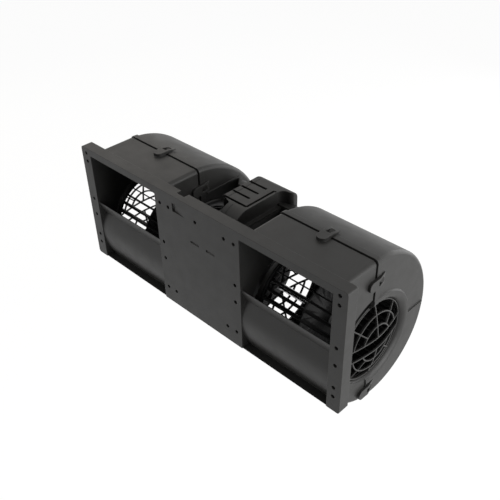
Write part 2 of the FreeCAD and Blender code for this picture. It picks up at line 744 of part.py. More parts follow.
def bearing(x0):
    return tube_x(BEARING_R, SHAFT_R + RUNNING_CLEARANCE, x0, x0 + BEARING_WIDTH)


def magnets():
    outer = MOTOR_R - CAN_WALL
    ring = tube_x(outer, outer - MAGNET_THICKNESS, MAGNET_X - MAGNET_LENGTH / 2,
                  MAGNET_X + MAGNET_LENGTH / 2)
    reach = MOTOR_R * 3
    pieces = []
    for middle in (0.0, 180.0):
        a = [math.radians(middle + s * MAGNET_SPAN / 2) for s in (-1, 0, 1)]
        points = [vec(-MOTOR_R, AXIS_Y, AXIS_Z)]
        points += [vec(-MOTOR_R, AXIS_Y + reach * math.cos(t), AXIS_Z + reach * math.sin(t)) for t in a]
        wedge = Part.Face(Part.makePolygon(points + points[:1])).extrude(vec(2 * MOTOR_R, 0, 0))
        pieces.append(ring.common(wedge))
    return Part.makeCompound(pieces)


def armature_core():
    x0 = MAGNET_X - CORE_LENGTH / 2
    core = rod_x(CORE_R, x0, x0 + CORE_LENGTH)
    slot = box(x0 - 1, x0 + CORE_LENGTH + 1, AXIS_Y + CORE_R - CORE_SLOT_DEPTH, AXIS_Y + CORE_R + 1,
               AXIS_Z - CORE_SLOT_WIDTH / 2, AXIS_Z + CORE_SLOT_WIDTH / 2)
    slots = [turned(slot, 360.0 * i / CORE_SLOTS) for i in range(CORE_SLOTS)]
    return core.cut(slots + [rod_x(SHAFT_R, x0 - 1, x0 + CORE_LENGTH + 1)])


def windings():
    """Coil heads at both ends of the core, with bevelled rims."""
    x0 = MAGNET_X - CORE_LENGTH / 2
    outer = CORE_R - COIL_INSET
    inner = COMMUTATOR_R + COIL_INSET
    bevel = COIL_BEVEL
    ends = []
    for near, far in ((x0, x0 - COIL_HEAD), (x0 + CORE_LENGTH, x0 + CORE_LENGTH + COIL_HEAD)):
        side = 1 if far > near else -1
        ends.append(revolve_about_axis([(near, inner), (near, outer), (far - side * bevel, outer),
                                        (far, outer - bevel), (far, inner + bevel),
                                        (far - side * bevel, inner)]))
    return Part.makeCompound(ends)


def commutator():
    x0 = COMMUTATOR_X
    body = tube_x(COMMUTATOR_R, SHAFT_R, x0, x0 + COMMUTATOR_LENGTH)
    width, depth = COMMUTATOR_SLOT
    gap = box(x0 - 1, x0 + COMMUTATOR_LENGTH + 1, AXIS_Y + COMMUTATOR_R - depth, AXIS_Y + COMMUTATOR_R + 1,
              AXIS_Z - width / 2, AXIS_Z + width / 2)
    return body.cut([turned(gap, 360.0 * i / COMMUTATOR_BARS) for i in range(COMMUTATOR_BARS)])


def brushes():
    pieces = []
    x = COMMUTATOR_X + COMMUTATOR_LENGTH / 2
    for side in (-1, 1):
        near = COMMUTATOR_R + BRUSH_GAP
        y = AXIS_Y + side * (near + BRUSH_LENGTH / 2)
        pieces.append(centred_box(x, y, AXIS_Z, BRUSH_SIZE[0], BRUSH_LENGTH, BRUSH_SIZE[1]))
    return Part.makeCompound(pieces)


def brush_holder():
    """Plate behind the commutator with a guide box round each brush."""
    plate_x = MOTOR_HALF_LENGTH - SPIGOT_LENGTH
    plate = tube_x(MOTOR_R - CAN_WALL - HOLDER_RIM_GAP, COMMUTATOR_R + GUIDE_WALL, plate_x - HOLDER_PLATE,
                   plate_x)
    guides = []
    holes = []
    x = COMMUTATOR_X + COMMUTATOR_LENGTH / 2
    for side in (-1, 1):
        y = AXIS_Y + side * (COMMUTATOR_R + GUIDE_START + BRUSH_LENGTH / 2)
        half = BRUSH_SIZE[1] / 2 + GUIDE_WALL
        guides.append(box(x - BRUSH_SIZE[0] / 2 - GUIDE_WALL, plate_x - HOLDER_PLATE / 2,
                          y - BRUSH_LENGTH / 2, y + BRUSH_LENGTH / 2, AXIS_Z - half, AXIS_Z + half))
        holes.append(centred_box(x, y, AXIS_Z, BRUSH_SIZE[0] + BRUSH_SLIDE, 2 * BRUSH_LENGTH,
                                 BRUSH_SIZE[1] + BRUSH_SLIDE))
    return union([plate] + guides).cut(holes)


def shaft():
    reach = SCROLL_MID + HUB_LENGTH / 2 + SHAFT_OVERHANG
    body = rod_x(SHAFT_R, -reach, reach)
    ends = [e for e in body.Edges if len(e.Vertexes) == 1 and hasattr(e.Curve, "Radius")]
    return body.makeChamfer(SHAFT_CHAMFER, ends)


def isolation_ring(x):
    return tube_x(RUBBER_R, MOTOR_R, x - RUBBER_WIDTH / 2, x + RUBBER_WIDTH / 2)


# Motor bridge, clamp and cover

def beam_outline(inset):
    """Front lip, flat top, rounded corner and rear wall of the beam, as seen from the side."""
    top = BEAM_TOP_Z - inset
    back = BEAM_BACK_Y - inset
    front = BEAM_FRONT_Y + inset
    centre = (BEAM_BACK_Y - BEAM_CORNER_R, BEAM_TOP_Z - BEAM_CORNER_R)
    foot = BEAM_FOOT_Z - inset
    return side_face([
        line((front, foot), (front, top)),
        line((front, top), (centre[0], top)),
        arc(centre, BEAM_CORNER_R - inset, 90.0, 0.0),
        line((back, centre[1]), (back, foot)),
        line((back, foot), (front, foot)),
    ])


def cross_beam():
    """Bent sheet between the two scrolls, cut away at an angle beside their inlets."""
    half = SCROLL_IN - BEAM_END_GAP
    beam = slab(beam_outline(0.0), -half, half).cut(slab(beam_outline(BRIDGE_WALL), -half - 1, half + 1))
    below_lip = box(-half - 1, half + 1, BEAM_FRONT_Y - 1, BEAM_FRONT_Y + BRIDGE_WALL + 1,
                    BEAM_FOOT_Z - 1, DECK_Z - BRIDGE_WALL)
    across, back = BEAM_CUT
    corners = [vec(half - across, BEAM_FRONT_Y - 1, 0), vec(half + 1, BEAM_FRONT_Y + back, 0),
               vec(half + 1, BEAM_FRONT_Y - 1, 0)]
    corner = Part.Face(Part.makePolygon(corners + corners[:1])).extrude(vec(0, 0, BEAM_TOP_Z + 1))
    return beam.cut([below_lip, corner, mirrored(corner)])


def saddle_half():
    return RUBBER_R + SADDLE_WALL


def ear_ys():
    """Middles of the screw ears in front of the motor and behind it."""
    return AXIS_Y - saddle_half() - EAR_LENGTH / 2, AXIS_Y + saddle_half() + EAR_LENGTH / 2


def saddle(x):
    """Rib under the deck with a half-round saddle for one rubber ring, and two ears."""
    half = saddle_half()
    low = AXIS_Z + CLAMP_GAP / 2
    high = DECK_Z - BRIDGE_WALL / 2
    shoulder = AXIS_Z + half * 0.55
    rib = side_face([line((AXIS_Y - half, low), (AXIS_Y - half, shoulder)),
                     line((AXIS_Y - half, shoulder), (DECK_FRONT_Y, high)),
                     line((DECK_FRONT_Y, high), (BEAM_FRONT_Y, high)),
                     line((BEAM_FRONT_Y, high), (AXIS_Y + half, shoulder)),
                     line((AXIS_Y + half, shoulder), (AXIS_Y + half, low)),
                     line((AXIS_Y + half, low), (AXIS_Y - half, low))])
    rib = slab(rib, x - SADDLE_WIDTH / 2, x + SADDLE_WIDTH / 2)
    ears = box(x - SADDLE_WIDTH / 2, x + SADDLE_WIDTH / 2, FLANGE_PLATE, AXIS_Y + half + EAR_LENGTH,
               low, low + EAR_HEIGHT)
    return rib.fuse(ears)


def ear_holes():
    return [Part.makeCylinder(SCREW_R, 3 * EAR_HEIGHT, vec(x, y, AXIS_Z - 1.5 * EAR_HEIGHT), Z_AXIS)
            for x in RUBBER_XS for y in ear_ys()]


def motor_bridge():
    """Deck and beam between the scrolls, with two saddles that hold the motor from above."""
    deck = box(DECK_LEFT_X, DECK_RIGHT_X, DECK_FRONT_Y, BEAM_FRONT_Y + BRIDGE_WALL,
               DECK_Z - BRIDGE_WALL, DECK_Z)
    body = union([deck, cross_beam()] + [saddle(x) for x in RUBBER_XS])
    holes = ear_holes() + [rod_x(RUBBER_R, -FAR, FAR)]
    holes += [Part.makeCylinder(SCREW_R, 3 * EAR_HEIGHT, vec(x, y, DECK_Z - 1.5 * EAR_HEIGHT), Z_AXIS)
              for x, y in cover_screw_places()]
    return body.cut(holes)


def motor_clamp():
    """Lower half-rings under the motor, joined by two rails."""
    half = saddle_half()
    low = AXIS_Z - CLAMP_GAP / 2
    parts = []
    for x in RUBBER_XS:
        band = tube_x(half, RUBBER_R, x - SADDLE_WIDTH / 2, x + SADDLE_WIDTH / 2)
        parts.append(band.common(box(-FAR, FAR, -FAR, FAR, -FAR, low)))
        for side in (-1, 1):
            y = AXIS_Y + side * (half + EAR_LENGTH / 2 - 1.5)
            parts.append(centred_box(x, y, low - EAR_HEIGHT / 2, SADDLE_WIDTH, EAR_LENGTH + 3, EAR_HEIGHT))
    for side in (-1, 1):
        y = AXIS_Y + side * (half + EAR_LENGTH - 2.5)
        rail = box(RUBBER_XS[0], RUBBER_XS[1], y - 1.5, y + 1.5, low - EAR_HEIGHT, low)
        parts.append(rail)
    return union(parts).cut(ear_holes())


def screw(length_below):
    """Round-head screw, head on top of the plane Z = 0 and shank below it."""
    head = Part.makeCone(SCREW_HEAD_R, SCREW_HEAD_R * 0.8, SCREW_HEAD)
    return head.fuse(Part.makeCylinder(SCREW_R, length_below, vec(0, 0, -length_below)))


def clamp_screws():
    pieces = []
    for x in RUBBER_XS:
        for y in ear_ys():
            piece = screw(2 * EAR_HEIGHT + CLAMP_GAP - 1.0)
            piece.rotate(vec(0, 0, 0), X_AXIS, 180)
            piece.translate(vec(x, y, AXIS_Z - CLAMP_GAP / 2 - EAR_HEIGHT))
            pieces.append(piece)
    return Part.makeCompound(pieces)


def cover_outline(inset):
    """Side view of the cover: bent skirt, flat roof and rounded back."""
    top = COVER_TOP_Z - inset
    front = SKIRT_FRONT_Y + inset
    back = COVER_BACK_Y - inset
    knee = DECK_Z + 7.5
    bend = ((front + SKIRT_SHOULDER_Y) / 2 - 2.0, top - 3.4)
    centre = (COVER_BACK_Y - COVER_BACK_R, COVER_TOP_Z - COVER_BACK_R)
    foot = BEAM_TOP_Z - BEAM_CORNER_R
    return side_face([
        line((front, foot), (front, knee)),
        Part.Arc(vec(0, front, knee), vec(0, *bend), vec(0, SKIRT_SHOULDER_Y, top)).toShape(),
        line((SKIRT_SHOULDER_Y, top), (centre[0], top)),
        arc(centre, COVER_BACK_R - inset, 90.0, 0.0),
        line((back, centre[1]), (back, foot)),
        line((back, foot), (front, foot)),
    ])


def plan_line(p, q):
    return Part.LineSegment(vec(*p, 0), vec(*q, 0)).toShape()


def plan_arc(centre, r, a0, a1):
    pts = [on_circle(centre, r, a) for a in (a0, (a0 + a1) / 2, a1)]
    return Part.Arc(*[vec(*p, 0) for p in pts]).toShape()


def cover_plan(inset):
    """Plan of the cover: narrow skirt in front, wide roof, and a wing at the back right."""
    left = COVER_LEFT_X + inset
    right = COVER_RIGHT_X - inset
    skirt = SKIRT_LEFT_X + inset
    front = SKIRT_FRONT_Y + inset
    back = COVER_BACK_Y - inset
    wing = WING_RIGHT_X - inset
    wing_front = WING_FRONT_Y + inset
    inner = (COVER_RIGHT_X + WING_INNER_R, WING_FRONT_Y - WING_INNER_R)
    outer = (WING_RIGHT_X - WING_OUTER_R, WING_FRONT_Y + WING_OUTER_R)
    corner = (COVER_LEFT_X + COVER_CORNER_R, COVER_BACK_Y - COVER_CORNER_R)
    edges = [
        plan_line((left, COVER_CORNER_Y + inset), (skirt, SKIRT_SHOULDER_Y - 4.0 + inset)),
        plan_line((skirt, SKIRT_SHOULDER_Y - 4.0 + inset), (skirt, front)),
        plan_line((skirt, front), (right, front)),
        plan_line((right, front), (right, inner[1])),
        plan_arc(inner, WING_INNER_R + inset, 180.0, 90.0),
        plan_line((inner[0], wing_front), (outer[0], wing_front)),
        plan_arc(outer, WING_OUTER_R - inset, -90.0, 0.0),
        plan_line((wing, outer[1]), (wing, back)),
        plan_line((wing, back), (corner[0], back)),
        plan_arc(corner, COVER_CORNER_R - inset, 90.0, 180.0),
        plan_line((left, corner[1]), (left, COVER_CORNER_Y + inset)),
    ]
    return Part.Face(Part.Wire(Part.__sortEdges__(edges)))


def cover_block(inset):
    plan = cover_plan(inset).extrude(vec(0, 0, 2 * COVER_TOP_Z))
    return plan.common(slab(cover_outline(inset), COVER_LEFT_X - 1, WING_RIGHT_X + 1))


def cover_screw_places():
    """On the foot beside the cover, and on the tab in front of its skirt."""
    return ((COVER_RIGHT_X + COVER_FOOT_WIDTH / 2, SKIRT_FRONT_Y + 6.0),
            ((SKIRT_LEFT_X + COVER_RIGHT_X) / 2, SKIRT_FRONT_Y - 4.0))


def motor_cover():
    """Slotted hood that stands on the deck and the beam."""
    foot = DECK_Z + COVER_WALL
    side_foot = box(COVER_RIGHT_X - 1.0, COVER_RIGHT_X + COVER_FOOT_WIDTH, SKIRT_FRONT_Y, BEAM_FRONT_Y,
                    DECK_Z, foot)
    tab_x = (SKIRT_LEFT_X + COVER_RIGHT_X) / 2
    tab = box(tab_x - 5.0, tab_x + 5.0, DECK_FRONT_Y, SKIRT_FRONT_Y + 1.0, DECK_Z, foot)
    hood = cover_block(0.0).cut(cover_block(COVER_WALL))
    mouth = box(COVER_LEFT_X + COVER_WALL, SKIRT_LEFT_X, SKIRT_FRONT_Y, COVER_CORNER_Y + 2 * COVER_WALL,
                0, COVER_TOP_Z - COVER_WALL)
    below = box(-FAR, FAR, 0, BEAM_FRONT_Y, 0, DECK_Z)
    slots = []
    edge_x = COVER_RIGHT_X - 4.5
    first, last = COVER_SLOT_YS[0], COVER_SLOT_YS[-1] + 3.0
    for y in COVER_SLOT_YS:
        end = edge_x if y == first else COVER_LEFT_X + COVER_SLOT_LENGTH
        slots.append(box(COVER_LEFT_X + 0.8, end, y - COVER_SLOT_WIDTH / 2, y + COVER_SLOT_WIDTH / 2,
                         COVER_TOP_Z - 2 * COVER_WALL, COVER_TOP_Z + 1))
    slots.append(box(edge_x - COVER_SLOT_WIDTH / 2, edge_x + COVER_SLOT_WIDTH / 2, first, last,
                     COVER_TOP_Z - 2 * COVER_WALL, COVER_TOP_Z + 1))
    slots.append(box(edge_x, edge_x + 3.4, last - 1.0, last + 1.0, COVER_TOP_Z - 2 * COVER_WALL,
                     COVER_TOP_Z + 1))
    roof_x, skirt_x = COVER_GROOVE_XS
    slots.append(centred_box(roof_x, (first + last) / 2 + 3.0, COVER_TOP_Z, 0.8, last - first + 10.0, 1.0))
    skirt_groove = slab(cover_outline(0.0).cut(cover_outline(0.6)), skirt_x - 0.5, skirt_x + 0.5)
    slots.append(skirt_groove.common(box(-FAR, FAR, SKIRT_FRONT_Y + 2, first - 6.0, DECK_Z + 4, FAR)))
    holes = [Part.makeCylinder(SCREW_R, 10, vec(x, y, DECK_Z - 2), Z_AXIS) for x, y in cover_screw_places()]
    beam = slab(beam_outline(0.0), -SCROLL_IN, SCROLL_IN)
    return union([hood, side_foot, tab]).cut([mouth, below, beam] + slots + holes)


def cover_screws():
    pieces = []
    for x, y in cover_screw_places():
        piece = screw(COVER_WALL + BRIDGE_WALL + 3.0)
        piece.translate(vec(x, y, DECK_Z + COVER_WALL))
        pieces.append(piece)
    return Part.makeCompound(pieces)


def terminal_block():
    """Open-topped plug socket on the bridge's rear wall."""
    sx, sy, sz = TERMINAL_BLOCK
    y0 = BEAM_BACK_Y
    outer = box(-sx / 2, sx / 2, y0, y0 + sy, -sz / 2, sz / 2)
    inner = box(-sx / 2 + 1.6, sx / 2 - 1.6, y0 + 3.0, y0 + sy - 1.6, -sz / 2 - 1, sz / 2 - 3.0)
    return outer.cut(inner)


def terminals():
    sx, sy, sz = TERMINAL_BLOCK
    width, thick, length = TERMINAL_BLADE
    y = BEAM_BACK_Y + 3.0 + (sy - 4.6) / 2
    top = sz / 2 - 3.0
    return Part.makeCompound([centred_box(s * sx / 4.4, y, top - length / 2, width, thick, length)
                              for s in (-1, 1)])


def both_sides(shape):
    """A piece of the right side and its twin on the left."""
    return {"right": shape, "left": mirrored(shape)}


def build():
    nodes = {"front_housing": front_housing()}
    for side, shape in both_sides(rear_shell()).items():
        nodes["rear_shell_" + side] = shape
    guard = inlet_guard()
    for side, shape in both_sides(guard).items():
        nodes["outer_guard_" + side] = shape
    for side, shape in both_sides(flip_scroll(guard)).items():
        nodes["inner_guard_" + side] = shape
    for side, shape in both_sides(fan_wheel()).items():
        nodes["fan_wheel_" + side] = shape
    for side, shape in both_sides(wheel_clip()).items():
        nodes["wheel_clip_" + side] = shape
    for side, x in zip(("left", "right"), RUBBER_XS):
        nodes["isolation_ring_" + side] = isolation_ring(x)
    nodes["bearing_left"] = bearing(-MOTOR_HALF_LENGTH - BEARING_WIDTH)
    nodes["bearing_right"] = bearing(MOTOR_HALF_LENGTH)
    nodes["motor_can"] = motor_can()
    nodes["motor_end_cap"] = end_cap()
    nodes["motor_magnets"] = magnets()
    nodes["brush_holder"] = brush_holder()
    nodes["brushes"] = brushes()
    nodes["motor_shaft"] = shaft()
    nodes["armature_core"] = armature_core()
    nodes["armature_windings"] = windings()
    nodes["commutator"] = commutator()
    nodes["motor_bridge"] = motor_bridge()
    nodes["motor_clamp"] = motor_clamp()
    nodes["clamp_screws"] = clamp_screws()
    nodes["motor_cover"] = motor_cover()
    nodes["cover_screws"] = cover_screws()
    nodes["terminal_block"] = terminal_block()
    nodes["terminal_blades"] = terminals()
    return nodes


def main():
    os.makedirs("parts", exist_ok=True)
    for name, shape in build().items():
        solids = shape.Solids
        print(name, "solids", len(solids), "valid", shape.isValid(),
              "volume", round(sum(s.Volume for s in solids), 1))
        shape = solids[0] if len(solids) == 1 else Part.makeCompound(solids)
        shape.exportStep("parts/" + name + ".step")


main()
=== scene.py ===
"""Looks of the double scroll cabin blower: its finishes, its finer pieces, the light and the camera.

Lengths are metres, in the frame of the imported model: origin at the centre of the flange's
front face, +X along the flange, +Y back into the blower, +Z up.
"""

import logging
import math
from abc import ABC, abstractmethod
from collections.abc import Sequence
from dataclasses import dataclass, field, replace
from enum import Enum
from typing import Self

import bmesh
import bpy
from mathutils import Matrix, Vector
from mathutils.geometry import delaunay_2d_cdt


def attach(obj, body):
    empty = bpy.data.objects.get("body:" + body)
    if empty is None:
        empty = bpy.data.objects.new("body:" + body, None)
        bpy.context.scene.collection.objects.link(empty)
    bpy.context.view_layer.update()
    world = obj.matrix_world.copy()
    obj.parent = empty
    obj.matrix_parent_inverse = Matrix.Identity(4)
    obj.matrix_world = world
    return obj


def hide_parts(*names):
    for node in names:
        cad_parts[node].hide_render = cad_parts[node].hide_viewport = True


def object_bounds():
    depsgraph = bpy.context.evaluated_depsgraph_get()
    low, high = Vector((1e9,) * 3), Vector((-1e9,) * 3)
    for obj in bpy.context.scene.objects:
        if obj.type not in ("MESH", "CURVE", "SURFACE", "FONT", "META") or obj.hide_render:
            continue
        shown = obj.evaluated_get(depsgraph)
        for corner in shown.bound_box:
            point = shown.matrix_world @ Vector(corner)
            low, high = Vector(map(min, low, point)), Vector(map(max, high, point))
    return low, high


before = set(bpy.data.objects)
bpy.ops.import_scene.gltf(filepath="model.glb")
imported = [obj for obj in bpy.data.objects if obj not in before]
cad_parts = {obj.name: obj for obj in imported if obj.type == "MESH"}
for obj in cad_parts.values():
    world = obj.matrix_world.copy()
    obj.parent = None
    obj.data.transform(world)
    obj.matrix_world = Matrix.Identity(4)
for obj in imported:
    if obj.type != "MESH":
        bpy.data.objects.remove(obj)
CAD_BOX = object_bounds()

LOG = logging.getLogger("blower")
MM = 0.001
UP = Vector((0.0, 0.0, 1.0))
WHITE = (1.0, 1.0, 1.0, 1.0)

ROUND_STEPS = 128  # points round a hoop
CORNER_STEPS = 2  # points along the rounded corner of a bar
SAME_SPOT = 1e-6  # corners nearer than this are one
SAME_SPOT_MM = 1e-4  # the same in the outline of a torn face, in millimetres
FLAT_DEG = 0.05  # faces that meet at less than this are one
TORN_AREA = 0.02 * MM * MM  # what a sound face's triangles may cover beyond its area
FILL_INSIDE = 1  # what the Delaunay call returns: the triangles inside the outline
NOISE_LOW, NOISE_HIGH = 0.3, 0.7  # the range in which most of a noise lies

AXIS = (70.8 * MM, -35.8 * MM)  # Y and Z of the fan axis
SCROLL_MIDDLE = 124.15 * MM  # X of the middle of each scroll and its wheel

Colour = tuple[float, float, float]
Point = tuple[float, float, float]
Pair = tuple[float, float]
Socket = bpy.types.NodeSocket
Value = float | Sequence[float] | Socket


def mm(*sizes: float) -> tuple[float, ...]:
    """Turn millimetres into metres."""
    return tuple(size * MM for size in sizes)


class Body(Enum):
    """The two bodies that pieces ride on."""

    HOUSING = "housing"
    ROTOR = "rotor"


class Side(Enum):
    """Which end of the blower a piece belongs to, as the sign of its X."""

    LEFT = -1
    RIGHT = 1

    @property
    def word(self) -> str:
        """The side's name as the nodes spell it."""
        return self.name.lower()


class Change(Enum):
    """What a helper solid does to a moulding, as the boolean modifier spells it."""

    CUT = "DIFFERENCE"
    ADD = "UNION"


class Tree:
    """Writes a shader or geometry node tree, one node at a time."""

    def __init__(self, tree: bpy.types.NodeTree) -> None:
        """Take hold of an empty tree."""
        self.tree = tree

    @classmethod
    def of(cls, owner: bpy.types.Material | bpy.types.World) -> Self:
        """Return the emptied tree of a material or a world.

        Args:
            owner: What the tree belongs to.

        Returns:
            The tree's writer.
        """
        owner.use_nodes = True
        owner.node_tree.nodes.clear()
        return cls(owner.node_tree)

    def add(self, kind: str, inputs: dict | None = None, **settings: object) -> bpy.types.Node:
        """Add a node, set it up and connect it.

        Args:
            kind: The node's type name.
            inputs: Values, output sockets or lists of them by input name or index.
            **settings: Attributes of the node itself.

        Returns:
            The new node.
        """
        node = self.tree.nodes.new(kind)
        for name, value in settings.items():
            setattr(node, name, value)
        for key, value in (inputs or {}).items():
            self.feed(node.inputs[key], value)
        return node

    def feed(self, socket: Socket, value: Value | list[Socket]) -> None:
        """Give an input its value, or connect it to what feeds it.

        Args:
            socket: The input.
            value: A value, an output socket or a list of those.
        """
        for given in value if isinstance(value, list) else [value]:
            if isinstance(given, Socket):
                self.tree.links.new(given, socket)
            else:
                socket.default_value = given

    def math(self, operation: str, *values: Value) -> Socket:
        """Add a sum, product or other function of numbers and return its socket."""
        return self.add("ShaderNodeMath", dict(enumerate(values)), operation=operation).outputs[0]

    def along(self, direction: Sequence[float], length: Value) -> Socket:
        """Add a vector that runs a length in a fixed direction and return its socket."""
        inputs = {0: tuple(direction), "Scale": length}
        return self.add("ShaderNodeVectorMath", inputs, operation="SCALE").outputs[0]

    def point(self, x: Value = 0.0, y: Value = 0.0, z: Value = 0.0) -> Socket:
        """Add a vector from its three parts and return its socket."""
        return self.add("ShaderNodeCombineXYZ", {0: x, 1: y, 2: z}).outputs[0]


class Skin(Tree):
    """A material's tree: a principled shader, painted on Object coordinates."""

    def __init__(self, tree: bpy.types.NodeTree) -> None:
        """Start with the shader, its output and the place on the object.

        Args:
            tree: The material's empty tree.
        """
        super().__init__(tree)
        self.shader = self.add("ShaderNodeBsdfPrincipled")
        self.add("ShaderNodeOutputMaterial", {"Surface": self.shader.outputs["BSDF"]})
        self.place = self.add("ShaderNodeTexCoord").outputs["Object"]

    def give(self, inputs: dict[str, Value]) -> None:
        """Set inputs of the shader by their names."""
        for name, value in inputs.items():
            self.feed(self.shader.inputs[name], value)

    def noise(self, scale: float, detail: float, roughness: float = 0.5) -> Socket:
        """Add a noise with so many patches per metre and return its socket."""
        return self.add("ShaderNodeTexNoise", {"Vector": self.place, "Scale": scale, "Detail": detail,
                                               "Roughness": roughness}).outputs["Fac"]

    def cells(self, scale: float) -> Socket:
        """Add a pattern with so many cells per metre and return its distance socket."""
        cells = self.add("ShaderNodeTexVoronoi", {"Vector": self.place, "Scale": scale})
        return cells.outputs["Distance"]

    def relief(self, height: Socket, strength: float, depth: float) -> None:
        """Let a height pattern of a depth in metres tilt the surface."""
        bump = self.add("ShaderNodeBump", {"Height": height, "Strength": strength, "Distance": depth})
        self.give({"Normal": bump.outputs["Normal"]})


@dataclass(frozen=True)
class Finish(ABC):
    """How one material looks; each subclass builds its own nodes.

    Attributes:
        name: The material's name.
        slot: The record's material slot that it stands for; not used.
        colour: Linear base colour.
        roughness: Mean roughness of the surface.
    """

    name: str
    slot: str
    colour: Colour
    roughness: float

    def make(self) -> bpy.types.Material:
        """Build the material on first use.

        Returns:
            The material, the same one each time.
        """
        found = bpy.data.materials.get(self.name)
        if found is not None:
            return found
        material = bpy.data.materials.new(self.name)
        material.diffuse_color = (*self.colour, 1.0)
        skin = Skin.of(material)
        skin.give({"Roughness": self.roughness})
        self.paint(skin)
        return material

    @abstractmethod
    def paint(self, skin: Skin) -> None:
        """Add this finish's colour, gloss and relief to its tree."""

    def mottle(self, skin: Skin, scale: float, spread: float) -> None:
        """Vary the base colour a little over the surface.

        Args:
            skin: The material's tree.
            scale: Patches per metre.
            spread: Share by which the colour strays either way.
        """
        ramp = skin.add("ShaderNodeValToRGB", {"Fac": skin.noise(scale, 4.0, 0.6)})
        low, high = ramp.color_ramp.elements
        for element, place, share in ((low, NOISE_LOW, 1.0 - spread), (high, NOISE_HIGH, 1.0 + spread)):
            element.position = place
            element.color = (*(part * share for part in self.colour), 1.0)
        skin.give({"Base Color": ramp.outputs["Color"]})

    def uneven_gloss(self, skin: Skin, scale: float, spread: float) -> None:
        """Vary the roughness over the surface.

        Args:
            skin: The material's tree.
            scale: Patches per metre.
            spread: Amount by which the roughness strays either way.
        """
        rough = skin.add("ShaderNodeMapRange", {
            "Value": skin.noise(scale, 3.0), "From Min": NOISE_LOW, "From Max": NOISE_HIGH,
            "To Min": self.roughness - spread, "To Max": self.roughness + spread})
        skin.give({"Roughness": rough.outputs["Result"]})


@dataclass(frozen=True)
class MouldedPlastic(Finish):
    """Injection-moulded plastic with a spark-eroded grain.

    Attributes:
        grain: Pits per metre.
        grain_depth: Depth of the grain, in metres.
        specular: Specular level of the shader.
    """

    grain: float = 1500.0
    grain_depth: float = 0.00006
    specular: float = 0.3

    def paint(self, skin: Skin) -> None:
        """Add grain, faint flow marks and uneven gloss.

        Args:
            skin: The material's tree.
        """
        skin.give({"Specular IOR Level": self.specular})
        self.mottle(skin, 22.0, 0.06)
        self.uneven_gloss(skin, 60.0, 0.04)
        fine, broad = skin.noise(self.grain, 2.0, 0.55), skin.noise(self.grain * 0.02, 1.0)
        skin.relief(skin.math("ADD", fine, broad), 0.5, self.grain_depth)


@dataclass(frozen=True)
class TurnedMetal(Finish):
    """Metal with fine marks that run round the fan axis, or along it.

    Attributes:
        stretch: Pattern scale along X, Y and Z.
        metallic: One for bare metal, less under a film.
        lacquer: Weight of a clear lacquer.
    """

    stretch: tuple[float, float, float] = (2500.0, 60.0, 60.0)
    metallic: float = 1.0
    lacquer: float = 0.0

    def paint(self, skin: Skin) -> None:
        """Add the tool marks.

        Args:
            skin: The material's tree.
        """
        skin.give({"Metallic": self.metallic, "Coat Weight": self.lacquer, "Coat Roughness": 0.25})
        self.mottle(skin, 90.0, 0.05)
        self.uneven_gloss(skin, 300.0, 0.05)
        shape = skin.add("ShaderNodeMapping", {"Vector": skin.place, "Scale": self.stretch})
        marks = skin.add("ShaderNodeTexNoise", {"Vector": shape.outputs["Vector"], "Scale": 1.0,
                                                "Detail": 3.0})
        skin.relief(marks.outputs["Fac"], 0.4, 0.00004)


@dataclass(frozen=True)
class SoftRubber(Finish):
    """Matt rubber with a dusty bloom."""

    def paint(self, skin: Skin) -> None:
        """Add bloom and a fine pebbled skin.

        Args:
            skin: The material's tree.
        """
        skin.give({"Specular IOR Level": 0.3})
        self.mottle(skin, 140.0, 0.18)
        skin.relief(skin.cells(1400.0), 0.35, 0.00005)


@dataclass(frozen=True)
class PressedPowder(Finish):
    """Sintered ferrite or pressed carbon: dull, speckled and faintly pitted.

    Attributes:
        speck: Grains per metre.
    """

    speck: float = 2200.0

    def paint(self, skin: Skin) -> None:
        """Add specks and pits.

        Args:
            skin: The material's tree.
        """
        self.mottle(skin, self.speck, 0.3)
        skin.relief(skin.cells(self.speck * 0.5), 0.3, 0.00008)


CASING = MouldedPlastic("casing_black", "housing_plastic", (0.018, 0.0177, 0.0168), 0.46)
GUARD = MouldedPlastic("guard_black", "guard_plastic", (0.024, 0.0235, 0.0225), 0.42,
                       grain_depth=0.00003)
WHEEL = MouldedPlastic("wheel_black", "wheel_plastic", (0.005, 0.005, 0.005), 0.6,
                       grain_depth=0.00003, specular=0.2)
BRIDGE = MouldedPlastic("bridge_black", "bridge_plastic", (0.016, 0.016, 0.0152), 0.5)
HOLDER = MouldedPlastic("holder_brown", "holder_plastic", (0.12, 0.1, 0.08), 0.5)
CAN = TurnedMetal("can_lacquer", "can_steel", (0.05, 0.05, 0.054), 0.38, metallic=0.25, lacquer=0.3)
SHAFT = TurnedMetal("shaft_ground", "shaft_steel", (0.62, 0.62, 0.63), 0.24)
CORE = TurnedMetal("core_laminations", "core_steel", (0.42, 0.42, 0.43), 0.34)
COPPER = TurnedMetal("copper_enamel", "copper", (0.72, 0.36, 0.19), 0.3, lacquer=0.6)
ZINC = TurnedMetal("screw_zinc", "screw_steel", (0.6, 0.6, 0.62), 0.32, stretch=(900.0, 900.0, 60.0))
BRASS = TurnedMetal("blade_tinned", "blade_brass", (0.74, 0.6, 0.34), 0.3,
                    stretch=(60.0, 60.0, 1800.0))
RUBBER = SoftRubber("isolation_rubber", "rubber", (0.022, 0.022, 0.022), 0.75)
FERRITE = PressedPowder("magnet_ferrite", "ferrite", (0.075, 0.076, 0.08), 0.55)
CARBON = PressedPowder("brush_carbon", "carbon", (0.05, 0.05, 0.052), 0.6)


def add_object(name: str, data: bpy.types.ID) -> bpy.types.Object:
    """Put a new object into the scene.

    Args:
        name: Its name.
        data: Its mesh, light or camera.

    Returns:
        The new object.
    """
    thing = bpy.data.objects.new(name, data)
    bpy.context.scene.collection.objects.link(thing)
    return thing


